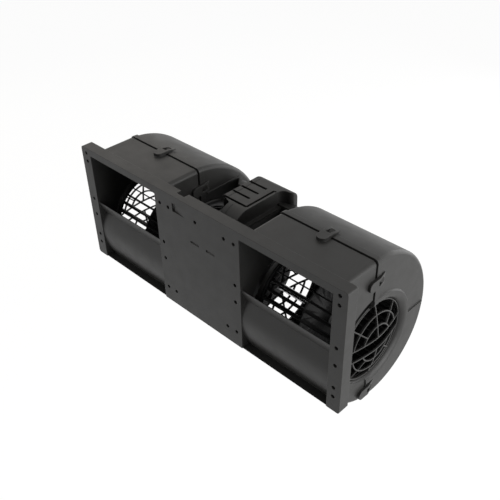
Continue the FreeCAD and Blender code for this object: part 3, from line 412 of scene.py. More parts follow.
def bake(piece: bpy.types.Object) -> None:
    """Turn a piece's modifiers into a plain mesh.

    Args:
        piece: The object whose modifiers are applied and removed.
    """
    graph = bpy.context.evaluated_depsgraph_get()
    mesh = bpy.data.meshes.new_from_object(piece.evaluated_get(graph))
    piece.modifiers.clear()
    piece.data = mesh
    mesh.name = piece.name


def lay_on_axis(piece: bpy.types.Object, x: float, outward: int = 1) -> None:
    """Move a piece drawn about Z onto the fan axis at x, with its top towards outward X."""
    turn = Matrix(((0, 0, outward), (outward, 0, 0), (0, 1, 0))).to_4x4()
    piece.data.transform(Matrix.Translation((x, *AXIS)) @ turn)


def dress(node: str, finish: Finish) -> None:
    """Give a carried-over node its finish.

    Args:
        node: The node's name.
        finish: The finish that it takes.
    """
    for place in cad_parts[node].material_slots:
        place.material = finish.make()
    LOG.info("dressed %s in %s", node, finish.name)


def settle(piece: bpy.types.Object, body: Body, node: str) -> None:
    """Let a finished piece ride on its body and stand for its node.

    Args:
        piece: The finished object, at the origin.
        body: The body that it moves with.
        node: The node that it stands for.
    """
    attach(piece, body.value)
    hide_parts(node)
    LOG.info("%s: %d faces, for %s", piece.name, len(piece.data.polygons), node)


class ShapeTree(Tree):
    """A geometry node tree with named inputs for its sizes, in metres.

    Every shape in it is drawn about its own Z axis.
    """

    def __init__(self, name: str) -> None:
        """Start an empty tree.

        Args:
            name: The node group's name.
        """
        super().__init__(bpy.data.node_groups.new(name, "GeometryNodeTree"))
        for way in ("INPUT", "OUTPUT"):
            self.tree.interface.new_socket(name="Geometry", in_out=way,
                                           socket_type="NodeSocketGeometry")
        self.given = self.add("NodeGroupInput")
        self.sizes: dict[str, float] = {}

    def shape(self, kind: str, inputs: dict | None = None, **settings: object) -> Socket:
        """Add a geometry node, as Tree.add does, and return its first output."""
        return self.add("GeometryNode" + kind, inputs, **settings).outputs[0]

    def size(self, name: str, value: float = 0.0) -> Socket:
        """Add a named input.

        Args:
            name: The input's name.
            value: Its usual value; a whole number makes it a count.

        Returns:
            The socket that gives its value.
        """
        kind = "NodeSocketInt" if isinstance(value, int) else "NodeSocketFloat"
        self.tree.interface.new_socket(name=name, in_out="INPUT", socket_type=kind)
        self.sizes[name] = value
        return self.given.outputs[name]

    def pair(self, names: tuple[str, str], values: Pair) -> list[Socket]:
        """Add two named inputs and return their sockets."""
        return [self.size(name, value) for name, value in zip(names, values)]

    def rounded_bar(self, width: Value, height: Value, rounding: Value) -> Socket:
        """Draw a bar's section, with its height along Z, and return its curve."""
        box = self.shape("CurvePrimitiveQuadrilateral", {"Width": width, "Height": height})
        return self.shape("FilletCurve", {"Curve": box, "Count": CORNER_STEPS, "Radius": rounding},
                          mode="POLY")

    def drive(self, path: Socket, section: Socket) -> Socket:
        """Drive a closed section along a path and return the closed mesh."""
        return self.shape("CurveToMesh", {"Curve": path, "Profile Curve": section, "Fill Caps": True})

    def sweep(self, path: Socket, section: Socket) -> Socket:
        """Drive a closed section along a path, upright all the way."""
        return self.drive(self.shape("SetCurveNormal", {"Curve": path}, mode="Z_UP"), section)

    def hoop(self, radius: Value, section: Socket, height: Value = 0.0) -> Socket:
        """Drive a closed section round Z, at a height on it, and return the closed mesh."""
        circle = self.shape("CurvePrimitiveCircle", {"Radius": radius, "Resolution": ROUND_STEPS})
        return self.moved(self.sweep(circle, section), self.point(z=height))

    def moved(self, geometry: Socket, offset: Value, turn: Value = (0.0, 0.0, 0.0)) -> Socket:
        """Turn a shape about X, Y and Z, shift it and return it."""
        return self.shape("Transform", {"Geometry": geometry, "Translation": offset, "Rotation": turn})

    def ring_of(self, geometry: Socket, count: Value) -> Socket:
        """Repeat a shape round the Z axis.

        Args:
            geometry: The shape, in its place in the ring.
            count: How many of them there are.

        Returns:
            The shapes as one mesh.
        """
        spots = self.shape("MeshLine", {"Count": count, "Offset": (0.0, 0.0, 0.0)})
        step = self.math("DIVIDE", math.tau, count)
        turn = self.math("MULTIPLY", self.shape("InputIndex"), step)
        copies = self.shape("InstanceOnPoints", {"Points": spots, "Instance": geometry,
                                                 "Rotation": self.point(z=turn)})
        return self.shape("RealizeInstances", {"Geometry": copies})

    def welded(self, *solids: Socket) -> Socket:
        """Unite closed meshes into one skin and return it."""
        return self.shape("MeshBoolean", {"Mesh 2": list(solids)}, operation="UNION",
                          solver="MANIFOLD")

    def close(self, geometry: Socket, finish: Finish) -> None:
        """End the tree: make a shape's copies real and give them their finish."""
        real = self.shape("RealizeInstances", {"Geometry": geometry})
        self.add("NodeGroupOutput", {0: self.shape("SetMaterial", {"Geometry": real,
                                                                   "Material": finish.make()})})

    def grow(self, name: str, spots: Sequence[Point] = ((0.0, 0.0, 0.0),),
             **sizes: float) -> bpy.types.Object:
        """Make a piece from the tree.

        Args:
            name: The piece's name.
            spots: Points of the plain mesh that the tree starts from.
            **sizes: Named inputs that differ from their usual value.

        Returns:
            The piece as a plain mesh.
        """
        mesh = bpy.data.meshes.new(name)
        mesh.from_pydata(spots, [], [])
        piece = add_object(name, mesh)
        shape = piece.modifiers.new("shape", "NODES")
        shape.node_group = self.tree
        given = self.sizes | sizes
        for item in self.tree.interface.items_tree:
            if item.in_out == "INPUT" and item.name in given:
                shape[item.identifier] = given[item.name]
        bake(piece)
        return piece


@dataclass(frozen=True)
class Sector:
    """A stretch of a ring about the fan axis.

    Attributes:
        section: Corners of its section, as X and radius on the right side.
        start_deg: Angle at which it starts, from +Y towards +Z.
        end_deg: Angle at which it ends.
        step_deg: Angle between two sections.
    """

    section: tuple[Pair, ...]
    start_deg: float
    end_deg: float
    step_deg: float = 2.0

    def solid(self, name: str, side: Side) -> bpy.types.Object:
        """Make the stretch as a closed solid.

        Args:
            name: Name of the object.
            side: The side of the blower that it is for.

        Returns:
            The new object.
        """
        span = self.end_deg - self.start_deg
        steps = round(span / self.step_deg)
        shape = bmesh.new()
        rings = []
        for step in range(steps + 1):
            angle = math.radians(self.start_deg + span * step / steps)
            rings.append([shape.verts.new((side.value * x, AXIS[0] + r * math.cos(angle),
                                           AXIS[1] + r * math.sin(angle))) for x, r in self.section])
        for end in (rings[0], rings[-1]):
            shape.faces.new(end)
        for near, far in zip(rings, rings[1:]):
            for corner in range(len(near)):
                after = (corner + 1) % len(near)
                shape.faces.new((near[corner], near[after], far[after], far[corner]))
        return solid_from(shape, name)


@dataclass(frozen=True)
class Slot:
    """A straight slot through the flange's plate.

    Attributes:
        centre: X and Z of its middle.
        size: Its width and height.
        reach: Y at which the cut starts and ends.
    """

    centre: Pair
    size: Pair
    reach: Pair = mm(-0.5, 2.8)

    def solid(self, name: str) -> bpy.types.Object:
        """Make the slot's block.

        Args:
            name: Name of the object.

        Returns:
            The new object.
        """
        start, end = self.reach
        shape = bmesh.new()
        bmesh.ops.create_cube(shape, size=1.0, matrix=Matrix.LocRotScale(
            Vector((self.centre[0], (start + end) / 2, self.centre[1])), None,
            Vector((self.size[0], end - start, self.size[1]))))
        return solid_from(shape, name)


def solid_from(shape: bmesh.types.BMesh, name: str) -> bpy.types.Object:
    """Turn a closed shape into an object, with its faces outwards.

    Args:
        shape: The shape, which is freed.
        name: Name of the object.

    Returns:
        The new object.
    """
    bmesh.ops.recalc_face_normals(shape, faces=shape.faces)
    mesh = bpy.data.meshes.new(name)
    shape.to_mesh(mesh)
    shape.free()
    return add_object(name, mesh)


@dataclass
class SoftEdges:
    """Rounds the sharp edges of a node's solid, as a mould or a press leaves them.

    Attributes:
        width: Reach of the rounding along each face.
        sharp_deg: Least angle between two faces that counts as an edge.
        segments: Steps across each rounding.
    """

    width: float = 0.35 * MM
    sharp_deg: float = 35.0
    segments: int = 2

    def copy_of(self, node: str, name: str, finish: Finish,
                changes: Sequence[tuple[Change, bpy.types.Object]] = ()) -> bpy.types.Object:
        """Return a merged and softened copy of a node.

        Args:
            node: The node to copy.
            name: The new piece's name.
            finish: The finish of the copy.
            changes: Solids to cut out of it or to add to it before its edges are softened.

        Returns:
            The new object, a plain mesh at the origin.
        """
        piece = add_object(name, self.merged(node, name))
        for change, solid in changes:
            step = piece.modifiers.new(change.name.lower(), "BOOLEAN")
            step.operation = change.value
            step.object = solid
            step.solver = "EXACT"
        bevel = piece.modifiers.new("soft_edges", "BEVEL")
        bevel.width = self.width
        bevel.segments = self.segments
        bevel.limit_method = "ANGLE"
        bevel.angle_limit = math.radians(self.sharp_deg)
        bevel.use_clamp_overlap = False
        bevel.face_strength_mode = "FSTR_ALL"
        bake(piece)
        LOG.info("%s: %d faces filled anew", name, refill(piece.data))
        even = piece.modifiers.new("even_normals", "WEIGHTED_NORMAL")
        even.mode = "FACE_AREA"
        even.weight = 100
        even.use_face_influence = True
        bake(piece)
        for _, solid in changes:
            bpy.data.objects.remove(solid)
        piece.data.materials.clear()
        piece.data.materials.append(finish.make())
        return piece

    def merged(self, node: str, name: str) -> bpy.types.Mesh:
        """Return a node's mesh with its corners joined and its flat faces whole.

        Args:
            node: The node to read.
            name: Name of the new mesh.

        Returns:
            The new mesh.
        """
        soft = bmesh.new()
        soft.from_mesh(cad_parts[node].data)
        bmesh.ops.remove_doubles(soft, verts=soft.verts, dist=SAME_SPOT)
        bmesh.ops.dissolve_limit(soft, angle_limit=math.radians(FLAT_DEG), verts=soft.verts,
                                 edges=soft.edges, use_dissolve_boundaries=False)
        for face in soft.faces:
            face.smooth = True
        mesh = bpy.data.meshes.new(name)
        soft.to_mesh(mesh)
        soft.free()
        return mesh


def turns_round(point: Vector, outline: Sequence[Vector]) -> int:
    """Count how often a closed flat outline turns round a point.

    Args:
        point: The point, in the outline's plane.
        outline: The outline's corners in order.

    Returns:
        The number of turns, 0 for a point outside it or in a hole.
    """
    turns = 0
    for start, end in zip(outline, (*outline[1:], outline[0])):
        side = (end - start).cross(point - start)
        if start.y <= point.y < end.y and side > 0.0:
            turns += 1
        elif end.y <= point.y < start.y and side < 0.0:
            turns -= 1
    return turns


def refill(mesh: bpy.types.Mesh) -> int:
    """Fill the flat faces anew whose outline crosses itself where two roundings meet.

    Blender splits such a face into triangles that reach far out of its outline.

    Args:
        mesh: The mesh, which is changed in place.

    Returns:
        The number of those faces.
    """
    spread = [0.0] * len(mesh.polygons)
    for triangle in mesh.loop_triangles:
        spread[triangle.polygon_index] += triangle.area
    torn = [face.index for face in mesh.polygons
            if len(face.vertices) > 4 and spread[face.index] > face.area + TORN_AREA]
    shape = bmesh.new()
    shape.from_mesh(mesh)
    shape.faces.ensure_lookup_table()
    for face in [shape.faces[index] for index in torn]:
        turn = face.normal.rotation_difference(UP).to_matrix()
        corners = [turn @ corner.co / MM for corner in face.verts]
        height = sum(corner.z for corner in corners) / len(corners)
        outline = [corner.xy for corner in corners]
        points, _, triangles, sources, _, _ = delaunay_2d_cdt(
            outline, [], [list(range(len(outline)))], FILL_INSIDE, SAME_SPOT_MM)
        verts = [face.verts[source[0]] if source else
                 shape.verts.new(turn.transposed() @ Vector((*point, height)) * MM)
                 for point, source in zip(points, sources)]
        for triangle in triangles:
            part = [verts[index] for index in triangle]
            middle = sum((points[index] for index in triangle), Vector((0.0, 0.0))) / 3
            if turns_round(middle, outline) and shape.faces.get(part) is None:
                shape.faces.new(part, face)
        shape.faces.remove(face)
    shape.to_mesh(mesh)
    shape.free()
    return len(torn)


class SubAssembly(ABC):
    """A group of pieces that come off the bench together."""

    @abstractmethod
    def build(self) -> None:
        """Make the group's pieces and dress its nodes."""


@dataclass
class Casings(SubAssembly):
    """Front housing, rear shells, bridge, clamp, cover and plug socket.

    Ahead of the seam the right side stands back from the upper half of the inlet's lip and
    meets its lower half in a smooth funnel. On the left the funnel runs all the way up.

    Attributes:
        edges: Softening of the mouldings' edges.
        setback: What is cut off the right side above the inlet.
        lip_trim: What is cut off the lip there.
        funnel: What closes the side to the lip below the inlet.
        funnel_top_deg: Angle at which the left funnel starts.
        slots: The two finger slots, and the deep end of the recess beside them.
    """

    edges: SoftEdges = field(default_factory=SoftEdges)
    setback: Sector = Sector(
        (mm(182.9, 50.0), mm(187.0, 50.0), mm(187.0, 61.0), mm(182.9, 61.0)), 90.0, 186.0)
    lip_trim: Sector = Sector(
        (mm(182.3, 46.0), mm(188.0, 46.0), mm(188.0, 54.0), mm(182.3, 54.0)), 101.5, 186.0)
    funnel: Sector = Sector(
        (mm(184.8, 49.9), mm(185.1, 51.2), mm(185.35, 53.2), mm(185.45, 55.4), mm(185.5, 56.8),
         mm(185.5, 60.0), mm(183.3, 60.0), mm(183.3, 49.9)), 192.0, 263.3)
    funnel_top_deg: float = 96.7
    slots: tuple[Slot, ...] = (Slot(mm(-2.8, 30.5), mm(12.9, 2.6)),
                               Slot(mm(21.2, 30.5), mm(12.9, 2.6)),
                               Slot(mm(-34.9, 62.7), mm(2.2, 10.4)))

    def build(self) -> None:
        """Soften and finish each moulding."""
        tall_funnel = replace(self.funnel, start_deg=self.funnel_top_deg)
        self.mould("front_housing", CASING,
                   [(Change.CUT, slot.solid("slot")) for slot in self.slots] +
                   [(Change.CUT, self.setback.solid("setback", Side.RIGHT)),
                    (Change.ADD, self.funnel.solid("funnel_right", Side.RIGHT)),
                    (Change.ADD, tall_funnel.solid("funnel_left", Side.LEFT))])
        self.mould("rear_shell_right", CASING,
                   [(Change.CUT, self.lip_trim.solid("lip_trim", Side.RIGHT))])
        for node in ("rear_shell_left", "motor_cover"):
            self.mould(node, CASING)
        for node in ("motor_bridge", "motor_clamp", "terminal_block"):
            self.mould(node, BRIDGE)

    def mould(self, node: str, finish: Finish,
              changes: Sequence[tuple[Change, bpy.types.Object]] = ()) -> None:
        """Replace one node by its softened moulding, cut and added to by the changes."""
        piece = self.edges.copy_of(node, node + "_moulding", finish, changes)
        settle(piece, Body.HOUSING, node)


@dataclass
class Guards(SubAssembly):
    """The four domed inlet guards: arcs, spokes and two cross bars in a hoop.

    Attributes:
        seat: X of an outer guard's hoop face.
        throat: Radius over which the dome rises.
        rise: Height of the dome over the hoop's face.
        power: Exponent of the dome's profile; two would be a parabola.
        hoop: Radius of the hoop's middle.
        hoop_section: Width and depth of the hoop.
        bar_section: Width and depth of a bar.
        rounding: Radius along the bars' edges.
        gap: Distance of a cross bar's middle from the axis.
        arcs: Radii of the inner and the outer arc.
        spoke_deg: Angles of the spokes in the upper half.
        long_spoke_deg: The one that reaches the cross bar; the others end at the inner arc.
        arc_steps: Points along an arc.
        run_steps: Points along a straight bar.
    """

    seat: float = 182.5 * MM
    throat: float = 47.5 * MM
    rise: float = 8.5 * MM
    power: float = 1.6
    hoop: float = 46.7 * MM
    hoop_section: Pair = mm(1.4, 3.0)
    bar_section: Pair = mm(1.4, 2.4)
    rounding: float = 0.3 * MM
    gap: float = 7.5 * MM
    arcs: Pair = mm(21.6, 34.6)
    spoke_deg: tuple[float, ...] = (45.0, 90.0, 135.0)
    long_spoke_deg: float = 90.0
    arc_steps: int = 49
    run_steps: int = 25

    def build(self) -> None:
        """Make the guards and put them in their inlets."""
        shape = self.tree()
        for side in Side:
            for place in ("outer", "inner"):
                node = place + "_guard_" + side.word
                piece = shape.grow(node + "_grille")
                outward = side.value if place == "outer" else -side.value
                x = side.value * SCROLL_MIDDLE + outward * (self.seat - SCROLL_MIDDLE)
                lay_on_axis(piece, x, outward)
                settle(piece, Body.HOUSING, node)

    def tree(self) -> ShapeTree:
        """Draw the guard with its dome towards +Z.

        Returns:
            The finished tree.
        """
        tree = ShapeTree("inlet_guard")
        hoop, gap = tree.size("Hoop", self.hoop), tree.size("Gap", self.gap)
        rounding = tree.size("Rounding", self.rounding)
        width, depth = tree.pair(("Bar Width", "Bar Depth"), self.bar_section)
        section = tree.rounded_bar(width, depth, rounding)
        inner, outer = tree.pair(("Inner Arc", "Outer Arc"), self.arcs)
        paths = [self.arc(tree, radius, gap) for radius in (inner, outer)]
        for angle in self.spoke_deg:
            way = (math.cos(math.radians(angle)), math.sin(math.radians(angle)), 0.0)
            start = gap if angle == self.long_spoke_deg else inner
            paths.append(self.run(tree, tree.along(way, start), tree.along(way, hoop)))
        square = tree.math("MULTIPLY", hoop, hoop)
        half = tree.math("SQRT", tree.math("SUBTRACT", square, tree.math("MULTIPLY", gap, gap)))
        back = tree.math("MULTIPLY", half, -1.0)
        paths.append(self.run(tree, tree.point(back, gap), tree.point(half, gap)))
        lift = self.dome(tree, depth)
        bars = []
        for path in paths:
            bar = tree.sweep(tree.shape("SetPosition", {"Geometry": path, "Offset": lift}), section)
            bars += [bar, tree.moved(bar, (0.0, 0.0, 0.0), (0.0, 0.0, math.pi))]
        wide, tall = tree.pair(("Hoop Width", "Hoop Depth"), self.hoop_section)
        rim = tree.rounded_bar(wide, tall, rounding)
        bars.append(tree.hoop(hoop, rim, tree.math("MULTIPLY", tall, -0.5)))
        tree.close(tree.welded(*bars), GUARD)
        return tree

    def arc(self, tree: ShapeTree, radius: Value, gap: Value) -> Socket:
        """Draw an arc that starts and ends on the cross bar at the gap, and return its curve."""
        start = tree.math("ARCSINE", tree.math("DIVIDE", gap, radius))
        return tree.shape("CurveArc", {
            "Resolution": self.arc_steps, "Radius": radius, "Start Angle": start,
            "Sweep Angle": tree.math("MULTIPLY_ADD", start, -2.0, math.pi)}, mode="RADIUS")

    def run(self, tree: ShapeTree, start: Value, end: Value) -> Socket:
        """Draw a straight run with enough points to follow the dome and return its curve."""
        line = tree.shape("CurvePrimitiveLine", {"Start": start, "End": end})
        return tree.shape("ResampleCurve", {"Curve": line, "Count": self.run_steps})

    def dome(self, tree: ShapeTree, depth: Value) -> Socket:
        """Say how far each point of a flat path rises so that the bar's skin lies on the dome.

        Args:
            tree: The tree to draw in.
            depth: Depth of the bar.

        Returns:
            The rise, as a vector.
        """
        away = tree.add("ShaderNodeVectorMath", {0: tree.shape("InputPosition")}, operation="LENGTH")
        share = tree.math("DIVIDE", away.outputs["Value"], tree.size("Throat", self.throat))
        fall = tree.math("POWER", share, tree.size("Power", self.power))
        rise = tree.size("Rise", self.rise)
        skin = tree.math("MULTIPLY", rise, tree.math("SUBTRACT", 1.0, fall))
        return tree.point(z=tree.math("MULTIPLY_ADD", depth, -0.5, skin))


@dataclass
class Wheels(SubAssembly):
    """The two fan wheels with their blades, end rings, disc and hub, and their retaining rings.

    Attributes:
        length: Length of the wheel.
        radius: Outer radius.
        inner: Radius at which the blades start.
        chord: Reach of a blade outwards and round.
        sag: Hollow of a blade.
        thickness: Thickness of a blade.
        blades: Number of blades.
        ring_section: Width and length of an end ring.
        disc: Radius and thickness of the middle disc.
        hub: Radius and length of the hub.
        bore: Radius of the shaft's hole.
        rounding: Radius along the edges.
    """

    length: float = 108.3 * MM
    radius: float = 50.0 * MM
    inner: float = 43.5 * MM
    chord: Pair = mm(6.05, 2.35)
    sag: float = 0.8 * MM
    thickness: float = 0.8 * MM
    blades: int = 28
    ring_section: Pair = mm(3.6, 2.0)
    disc: Pair = mm(48.7, 2.0)
    hub: Pair = mm(11.0, 22.0)
    bore: float = 4.0 * MM
    rounding: float = 0.3 * MM

    def build(self) -> None:
        """Make both wheels and dress their rings."""
        shape = self.tree()
        for side in Side:
            node = "fan_wheel_" + side.word
            piece = shape.grow(node + "_moulding")
            lay_on_axis(piece, side.value * SCROLL_MIDDLE)
            settle(piece, Body.ROTOR, node)
            dress("wheel_clip_" + side.word, SHAFT)

    def tree(self) -> ShapeTree:
        """Draw a wheel about Z.

        Returns:
            The finished tree.
        """
        tree = ShapeTree("fan_wheel")
        length, rounding = tree.size("Length", self.length), tree.size("Rounding", self.rounding)
        band, tall = tree.pair(("Ring Width", "Ring Length"), self.ring_section)
        ring_radius = tree.math("MULTIPLY_ADD", band, -0.5, tree.size("Radius", self.radius))
        section = tree.rounded_bar(band, tall, rounding)
        end = tree.math("MULTIPLY", tree.math("SUBTRACT", length, tall), 0.5)
        solids = [tree.hoop(ring_radius, section, tree.math("MULTIPLY", end, side.value))
                  for side in Side]
        bore = tree.size("Bore", self.bore)
        for names, sizes in ((("Disc Radius", "Disc Thickness"), self.disc),
                             (("Hub Radius", "Hub Length"), self.hub)):
            rim, height = tree.pair(names, sizes)
            across = tree.math("SUBTRACT", rim, bore)
            solids.append(tree.hoop(tree.math("MULTIPLY_ADD", across, 0.5, bore),
                                    tree.rounded_bar(across, height, rounding)))
        solids.append(tree.ring_of(self.blade(tree, length), tree.size("Blades", self.blades)))
        tree.close(tree.welded(*solids), WHEEL)
        return tree

    def blade(self, tree: ShapeTree, length: Value) -> Socket:
        """Draw the first blade: a curved strip with a rounded nose and tail.

        Args:
            tree: The tree to draw in.
            length: Length of the wheel.

        Returns:
            The blade's mesh.
        """
        reach, lean = tree.pair(("Blade Reach", "Blade Lean"), self.chord)
        thickness = tree.size("Blade Thickness", self.thickness)
        flat = tree.rounded_bar(reach, thickness, tree.math("MULTIPLY", thickness, 0.4))
        fine = tree.shape("SubdivideCurve", {"Curve": flat, "Cuts": 3})
        here = tree.add("ShaderNodeSeparateXYZ", {0: tree.shape("InputPosition")}).outputs[0]
        share = tree.math("ADD", tree.math("DIVIDE", here, reach), 0.5)
        hollow = tree.math("MULTIPLY", share, tree.math("SUBTRACT", 1.0, share))
        # a parabola, 0 at both edges of the blade and -1 halfway
        sag = tree.size("Blade Sag", self.sag)
        bow = tree.math("MULTIPLY", tree.math("MULTIPLY", hollow, -4.0), sag)
        aside = tree.math("MULTIPLY_ADD", lean, share, bow)
        aside = tree.math("MULTIPLY_ADD", thickness, 0.5, aside)
        out = tree.math("MULTIPLY_ADD", reach, 0.5, tree.size("Blade Start", self.inner))
        bent = tree.shape("SetPosition", {"Geometry": fine, "Offset": tree.point(out, aside)})
        top = tree.math("MULTIPLY", length, 0.5)
        foot = tree.math("MULTIPLY", top, -1.0)
        line = tree.shape("CurvePrimitiveLine", {"Start": tree.point(z=foot), "End": tree.point(z=top)})
        return tree.drive(line, bent)


@dataclass
class Bearings(SubAssembly):
    """The two ball bearings of the shaft.

    Attributes:
        middle: X of each bearing's middle.
        bore: Radius of the inner ring's hole.
        radius: Outer radius.
        width: Width of the rings.
        wall: Thickness of each ring.
        balls: Number of balls.
        ball_share: Radius of a ball, as a share of the distance between the rings' middles.
        rounding: Radius along the rings' edges.
    """

    middle: float = 41.5 * MM
    bore: float = 4.05 * MM
    radius: float = 8.0 * MM
    width: float = 7.0 * MM
    wall: float = 1.1 * MM
    balls: int = 8
    ball_share: float = 0.42
    rounding: float = 0.25 * MM

    def build(self) -> None:
        """Make the bearings and press them into their bosses."""
        shape = self.tree()
        for side in Side:
            node = "bearing_" + side.word
            piece = shape.grow(node + "_race")
            lay_on_axis(piece, side.value * self.middle)
            settle(piece, Body.HOUSING, node)

    def tree(self) -> ShapeTree:
        """Draw a bearing about Z.

        Returns:
            The finished tree.
        """
        tree = ShapeTree("ball_bearing")
        wall, width = tree.size("Wall", self.wall), tree.size("Width", self.width)
        section = tree.rounded_bar(wall, width, tree.size("Rounding", self.rounding))
        inner = tree.math("MULTIPLY_ADD", wall, 0.5, tree.size("Bore", self.bore))
        outer = tree.math("MULTIPLY_ADD", wall, -0.5, tree.size("Radius", self.radius))
        track = tree.math("MULTIPLY", tree.math("ADD", inner, outer), 0.5)
        ball_size = tree.math("MULTIPLY", tree.math("SUBTRACT", outer, inner), self.ball_share)
        ball = tree.shape("MeshUVSphere", {"Segments": 20, "Rings": 12, "Radius": ball_size})
        balls = tree.ring_of(tree.moved(ball, tree.point(track)), tree.size("Balls", self.balls))
        tree.close(tree.welded(tree.hoop(inner, section), tree.hoop(outer, section), balls), SHAFT)
        return tree


@dataclass
class Motor(SubAssembly):
    """The motor with everything inside its can.

    Attributes:
        edges: Softening of the edges of what shows.
    """

    edges: SoftEdges = field(default_factory=SoftEdges)

    def build(self) -> None:
        """Soften what shows of the motor and dress the rest."""
        for node, finish in (("motor_can", CAN), ("motor_end_cap", CAN),
                             ("isolation_ring_left", RUBBER), ("isolation_ring_right", RUBBER)):
            settle(self.edges.copy_of(node, node + "_skin", finish), Body.HOUSING, node)
        for node, finish in (("motor_magnets", FERRITE), ("brush_holder", HOLDER),
                             ("brushes", CARBON), ("motor_shaft", SHAFT), ("armature_core", CORE),
                             ("armature_windings", COPPER), ("commutator", COPPER)):
            dress(node, finish)


@dataclass
class Screws(SubAssembly):
    """Pan-head screws with a cross recess and a coarse thread, and the plug blades.

    Attributes:
        head: Radius at the foot of the head, radius at its top, and its height.
        shank: Radius over the thread.
        thread: Depth and pitch of the thread.
        threaded: Share of the shank that carries it.
        recess: Width, reach and depth of the cross.
        clamp_spots: Where the clamp's screws meet it; they point up.
        clamp_length: Length of their shanks.
        cover_spots: Where the cover's screws meet it; they point down.
        cover_length: Length of their shanks.
    """

    head: Point = mm(2.6, 2.08, 2.0)
    shank: float = 1.5 * MM
    thread: Pair = mm(0.3, 1.1)
    threaded: float = 0.9
    recess: Point = mm(0.6, 2.6, 1.2)
    clamp_spots: tuple[Point, ...] = tuple(
        mm(x, y, -44.3) for x in (-26.0, 14.5) for y in (19.8, 121.8))
    clamp_length: float = 16.0 * MM
    cover_spots: tuple[Point, ...] = (mm(15.25, 50.0, 33.0), mm(-0.4, 40.0, 33.0))
    cover_length: float = 7.5 * MM

    def build(self) -> None:
        """Drive the screws and dress the blades."""
        shape = self.tree()
        for node, spots, length, turn in (
                ("clamp_screws", self.clamp_spots, self.clamp_length, math.pi),
                ("cover_screws", self.cover_spots, self.cover_length, 0.0)):
            piece = shape.grow(node + "_set", spots, Length=length, Tip=turn)
            settle(piece, Body.HOUSING, node)
        dress("terminal_blades", BRASS)

    def tree(self) -> ShapeTree:
        """Draw a screw along Z, with its head over Z = 0, at each point of the plain mesh.

        Returns:
            The finished tree.
        """
        tree = ShapeTree("pan_head_screw")
        length = tree.size("Length")
        foot, top = tree.pair(("Head Radius", "Head Top"), self.head[:2])
        high = tree.size("Head Height", self.head[2])
        head = tree.shape("MeshCone", {"Vertices": 48, "Radius Top": top, "Radius Bottom": foot,
                                       "Depth": high})
        thread, pitch = tree.pair(("Thread Depth", "Thread Pitch"), self.thread)
        root = tree.math("SUBTRACT", tree.size("Shank Radius", self.shank), thread)
        core = tree.shape("MeshCylinder", {"Vertices": 32, "Depth": length, "Radius": root})
        shank = tree.moved(core, tree.point(z=tree.math("MULTIPLY", length, -0.5)))
        run = tree.math("MULTIPLY", length, self.threaded)
        path = tree.shape("CurveSpiral", {
            "Resolution": 16, "Rotations": tree.math("DIVIDE", run, pitch), "Start Radius": root,
            "End Radius": root, "Height": run})
        ridge = tree.shape("CurvePrimitiveCircle", {"Resolution": 4, "Radius": thread})
        helix = tree.moved(tree.sweep(path, ridge),
                           tree.point(z=tree.math("MULTIPLY", length, -1.0)))
        width, reach = tree.pair(("Recess Width", "Recess Reach"), self.recess[:2])
        deep = tree.math("MULTIPLY", tree.size("Recess Depth", self.recess[2]), 2.0)
        boxes = [tree.shape("MeshCube", {"Size": tree.point(*sides, deep)})
                 for sides in ((reach, width), (width, reach))]
        arms = [tree.moved(box, tree.point(z=high)) for box in boxes]
        cut = tree.shape("MeshBoolean", {"Mesh 1": tree.welded(head, shank), "Mesh 2": arms},
                         operation="DIFFERENCE", solver="MANIFOLD")
        whole = tree.shape("JoinGeometry", {0: [cut, helix]})
        copies = tree.shape("InstanceOnPoints", {
            "Points": tree.given.outputs["Geometry"], "Instance": whole,
            "Rotation": tree.point(tree.size("Tip"))})
        tree.close(copies, ZINC)
        return tree


@dataclass
class Lamp:
    """A soft area light.

    Attributes:
        name: The light's name.
        towards: Direction from the object to the lamp.
        power: Power in watts.
        colour: Tint of the light.
        distance: Distance of the lamp from the object.
        size: Width and height of the lamp.
    """

    name: str
    towards: Point
    power: float
    colour: Colour = (1.0, 1.0, 1.0)
    distance: float = 1.6
    size: float = 1.4

    def hang(self, target: Vector) -> None:
        """Place the lamp so that it faces a point.

        Args:
            target: The point that it faces.
        """
        data = bpy.data.lights.new(self.name, "AREA")
        data.shape = "SQUARE"
        data.size = self.size
        data.energy = self.power
        data.color = self.colour
        lamp = add_object(self.name, data)
        way = Vector(self.towards).normalized()
        lamp.location = target + way * self.distance
        lamp.rotation_euler = (-way).to_track_quat("-Z", "Y").to_euler()


